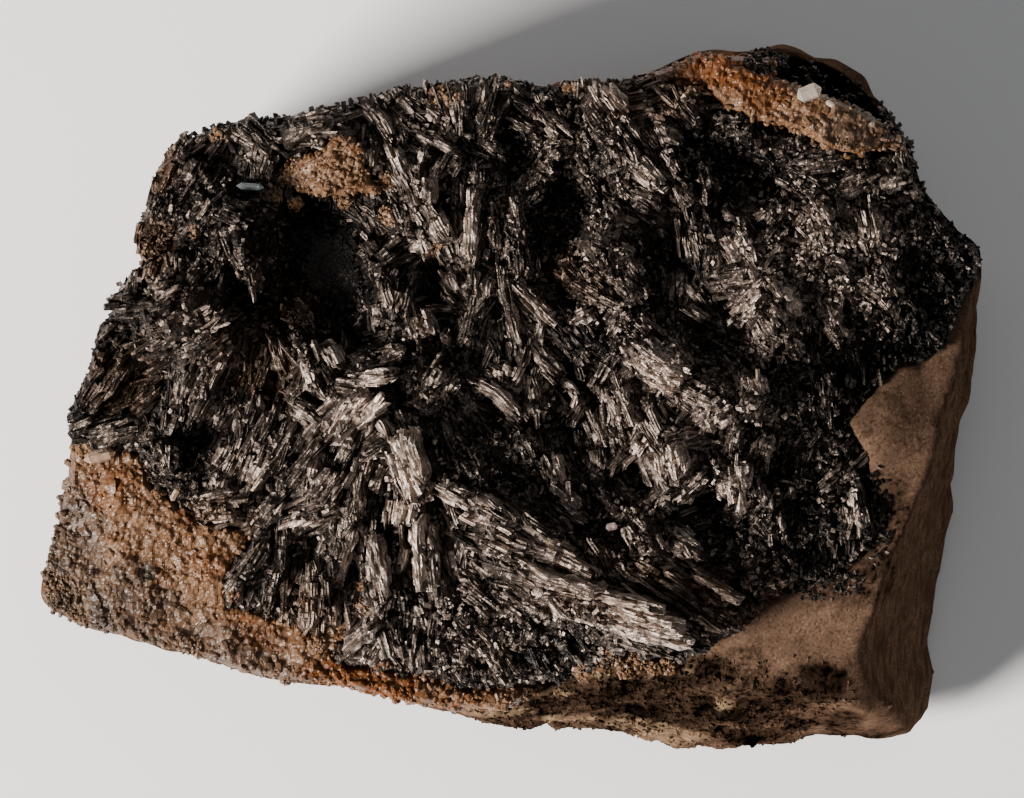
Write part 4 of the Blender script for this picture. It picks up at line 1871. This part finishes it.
@dataclass
class Studio:
    """A pale floor, a low key light from the left, a weak fill and the camera straight above."""

    distance: float = 1.6
    focus_height: float = 0.022
    pixel_mm: float = 0.1
    image_width: int = 1024
    floor_half: float = 1.5
    key_watts: float = 29.0
    key_elevation: float = 31.0
    key_reach: float = 0.9
    fill_share: float = 0.09
    sky: float = 0.065

    def build(self) -> None:
        """Builds the studio."""
        scene = bpy.context.scene
        floor = bpy.data.meshes.new("floor")
        half = self.floor_half
        corners = [(-half, -half, 0), (half, -half, 0), (half, half, 0), (-half, half, 0)]
        floor.from_pydata(corners, [], [(0, 1, 2, 3)])
        ground = bpy.data.objects.new("floor", floor)
        ground.location.z = -0.0002
        scene.collection.objects.link(ground)
        paper = Shader("paper")
        paper.set(Base_Color=(0.95, 0.95, 0.95, 1.0), Roughness=0.95)
        floor.materials.append(paper.material)

        towards, _, _ = axes_of(LIGHT_HEADING, math.radians(self.key_elevation), 0.0)
        self.lamp("key", Vector(towards) * self.key_reach, 0.3, self.key_watts, (1.0, 0.95, 0.9))
        fill_watts = self.key_watts * self.fill_share
        self.lamp("fill", Vector((0.25, 0.35, 1.1)), 0.9, fill_watts, (0.95, 0.97, 1.0))

        world = bpy.data.worlds.new("studio")
        world.use_nodes = True
        background = world.node_tree.nodes["Background"].inputs
        background["Color"].default_value = (1.0, 0.99, 0.98, 1.0)
        background["Strength"].default_value = self.sky
        scene.world = world

        camera = bpy.data.cameras.new("camera")
        camera.sensor_width = 36.0
        camera.lens = 36.0 * self.distance / (self.image_width * self.pixel_mm * MM)
        camera.dof.use_dof = False
        eye = bpy.data.objects.new("camera", camera)
        eye.location = (0.0, 0.0, self.focus_height + self.distance)
        scene.collection.objects.link(eye)
        scene.camera = eye

    @staticmethod
    def lamp(
        name: str, place: Vector, size: float, watts: float, colour: Triple
    ) -> None:
        """Adds a soft lamp that points at the specimen.

        Args:
            name: its name.
            place: where it stands, in metres.
            size: the side of its square face.
            watts: its power.
            colour: its colour.
        """
        data = bpy.data.lights.new(name, "AREA")
        data.shape = "SQUARE"
        data.size = size
        data.energy = watts
        data.color = colour
        lamp = bpy.data.objects.new(name, data)
        lamp.location = place
        lamp.rotation_euler = (Vector((0, 0, 0.02)) - place).to_track_quat("-Z", "Y").to_euler()
        bpy.context.scene.collection.objects.link(lamp)


def faces_of(piece: Piece) -> int:
    """How many triangles a piece's mesh has."""
    piece.data.calc_loop_triangles()
    return len(piece.data.loop_triangles)


def main() -> None:
    """Builds and dresses every piece in turn."""
    logging.basicConfig(level=logging.INFO, format="%(name)s: %(message)s")
    Studio().build()
    log.info("studio")
    crystal_top = TopMap(CRYSTALS, cell=0.34)
    rock_top = TopMap(ROCK)
    pieces = CrystalGrowth(crystal_top).build([rock_top, TopMap(QUARTZ[1])], CrystalFinish().make())
    quartz = QuartzFinish().make()
    crusts = (
        SugaryQuartz(QUARTZ[0], paleness=0.42, seed=3),
        SugaryQuartz(QUARTZ[1], paleness=0.62, seed=4),
        SugaryQuartz(
            QUARTZ[2], crystals_per_mm2=8.0, coarseness=0.72, grains_per_mm2=3.0, paleness=0.62, seed=5
        ),
    )
    for crust in crusts:
        pieces += crust.build(quartz)
    specks = QuartzSpecks([crystal_top, rock_top] + [TopMap(name) for name in QUARTZ])
    pieces += specks.build(quartz)
    clear = ClearQuartzFinish("quartz_clear", (0.66, 0.56, 0.46), 0.6).make()
    honey = ClearQuartzFinish("quartz_honey", (0.33, 0.2, 0.12), 0.4).make()
    rosy = ClearQuartzFinish("quartz_rosy", (0.85, 0.66, 0.6)).make()
    blue = ClearQuartzFinish("quartz_bluish", (0.42, 0.46, 0.5)).make()
    crystals = (
        (ClearCrystal("clear_crystal_upper", 29.5, 30.4, 2.8, 1.7, 22, lift=0.6, wear=0.09), clear),
        (ClearCrystal("clear_crystal_small", 31.6, 29.3, 1.1, 0.6, -30), clear),
        (ClearCrystal("honey_crystal_left", -41.0, -5.7, 3.5, 1.3, 14), honey),
        (ClearCrystal("honey_crystal_low", -33.5, -9.5, 1.6, 0.7, 60), honey),
        (ClearCrystal("bluish_crystal_upper", -26.0, 21.1, 3.0, 0.8, -4, lift=0.9), blue),
        (ClearCrystal("rosy_grain", 9.9, -12.7, 1.3, 0.85, 10, lift=0.8), rosy),
        (ClearCrystal("rosy_grain_small", 11.1, -13.1, 0.8, 0.6, -40, lift=0.8), rosy),
    )
    for crystal, finish in crystals:
        pieces.append(crystal.build(specks, finish))
    pieces += Sandstone().build(SandstoneFinish().make())
    for piece in pieces:
        log.info("%s, %d triangles", piece.name, faces_of(piece))
    log.info("in all %d triangles", sum(faces_of(piece) for piece in pieces))


if __name__ == "__main__":
    main()
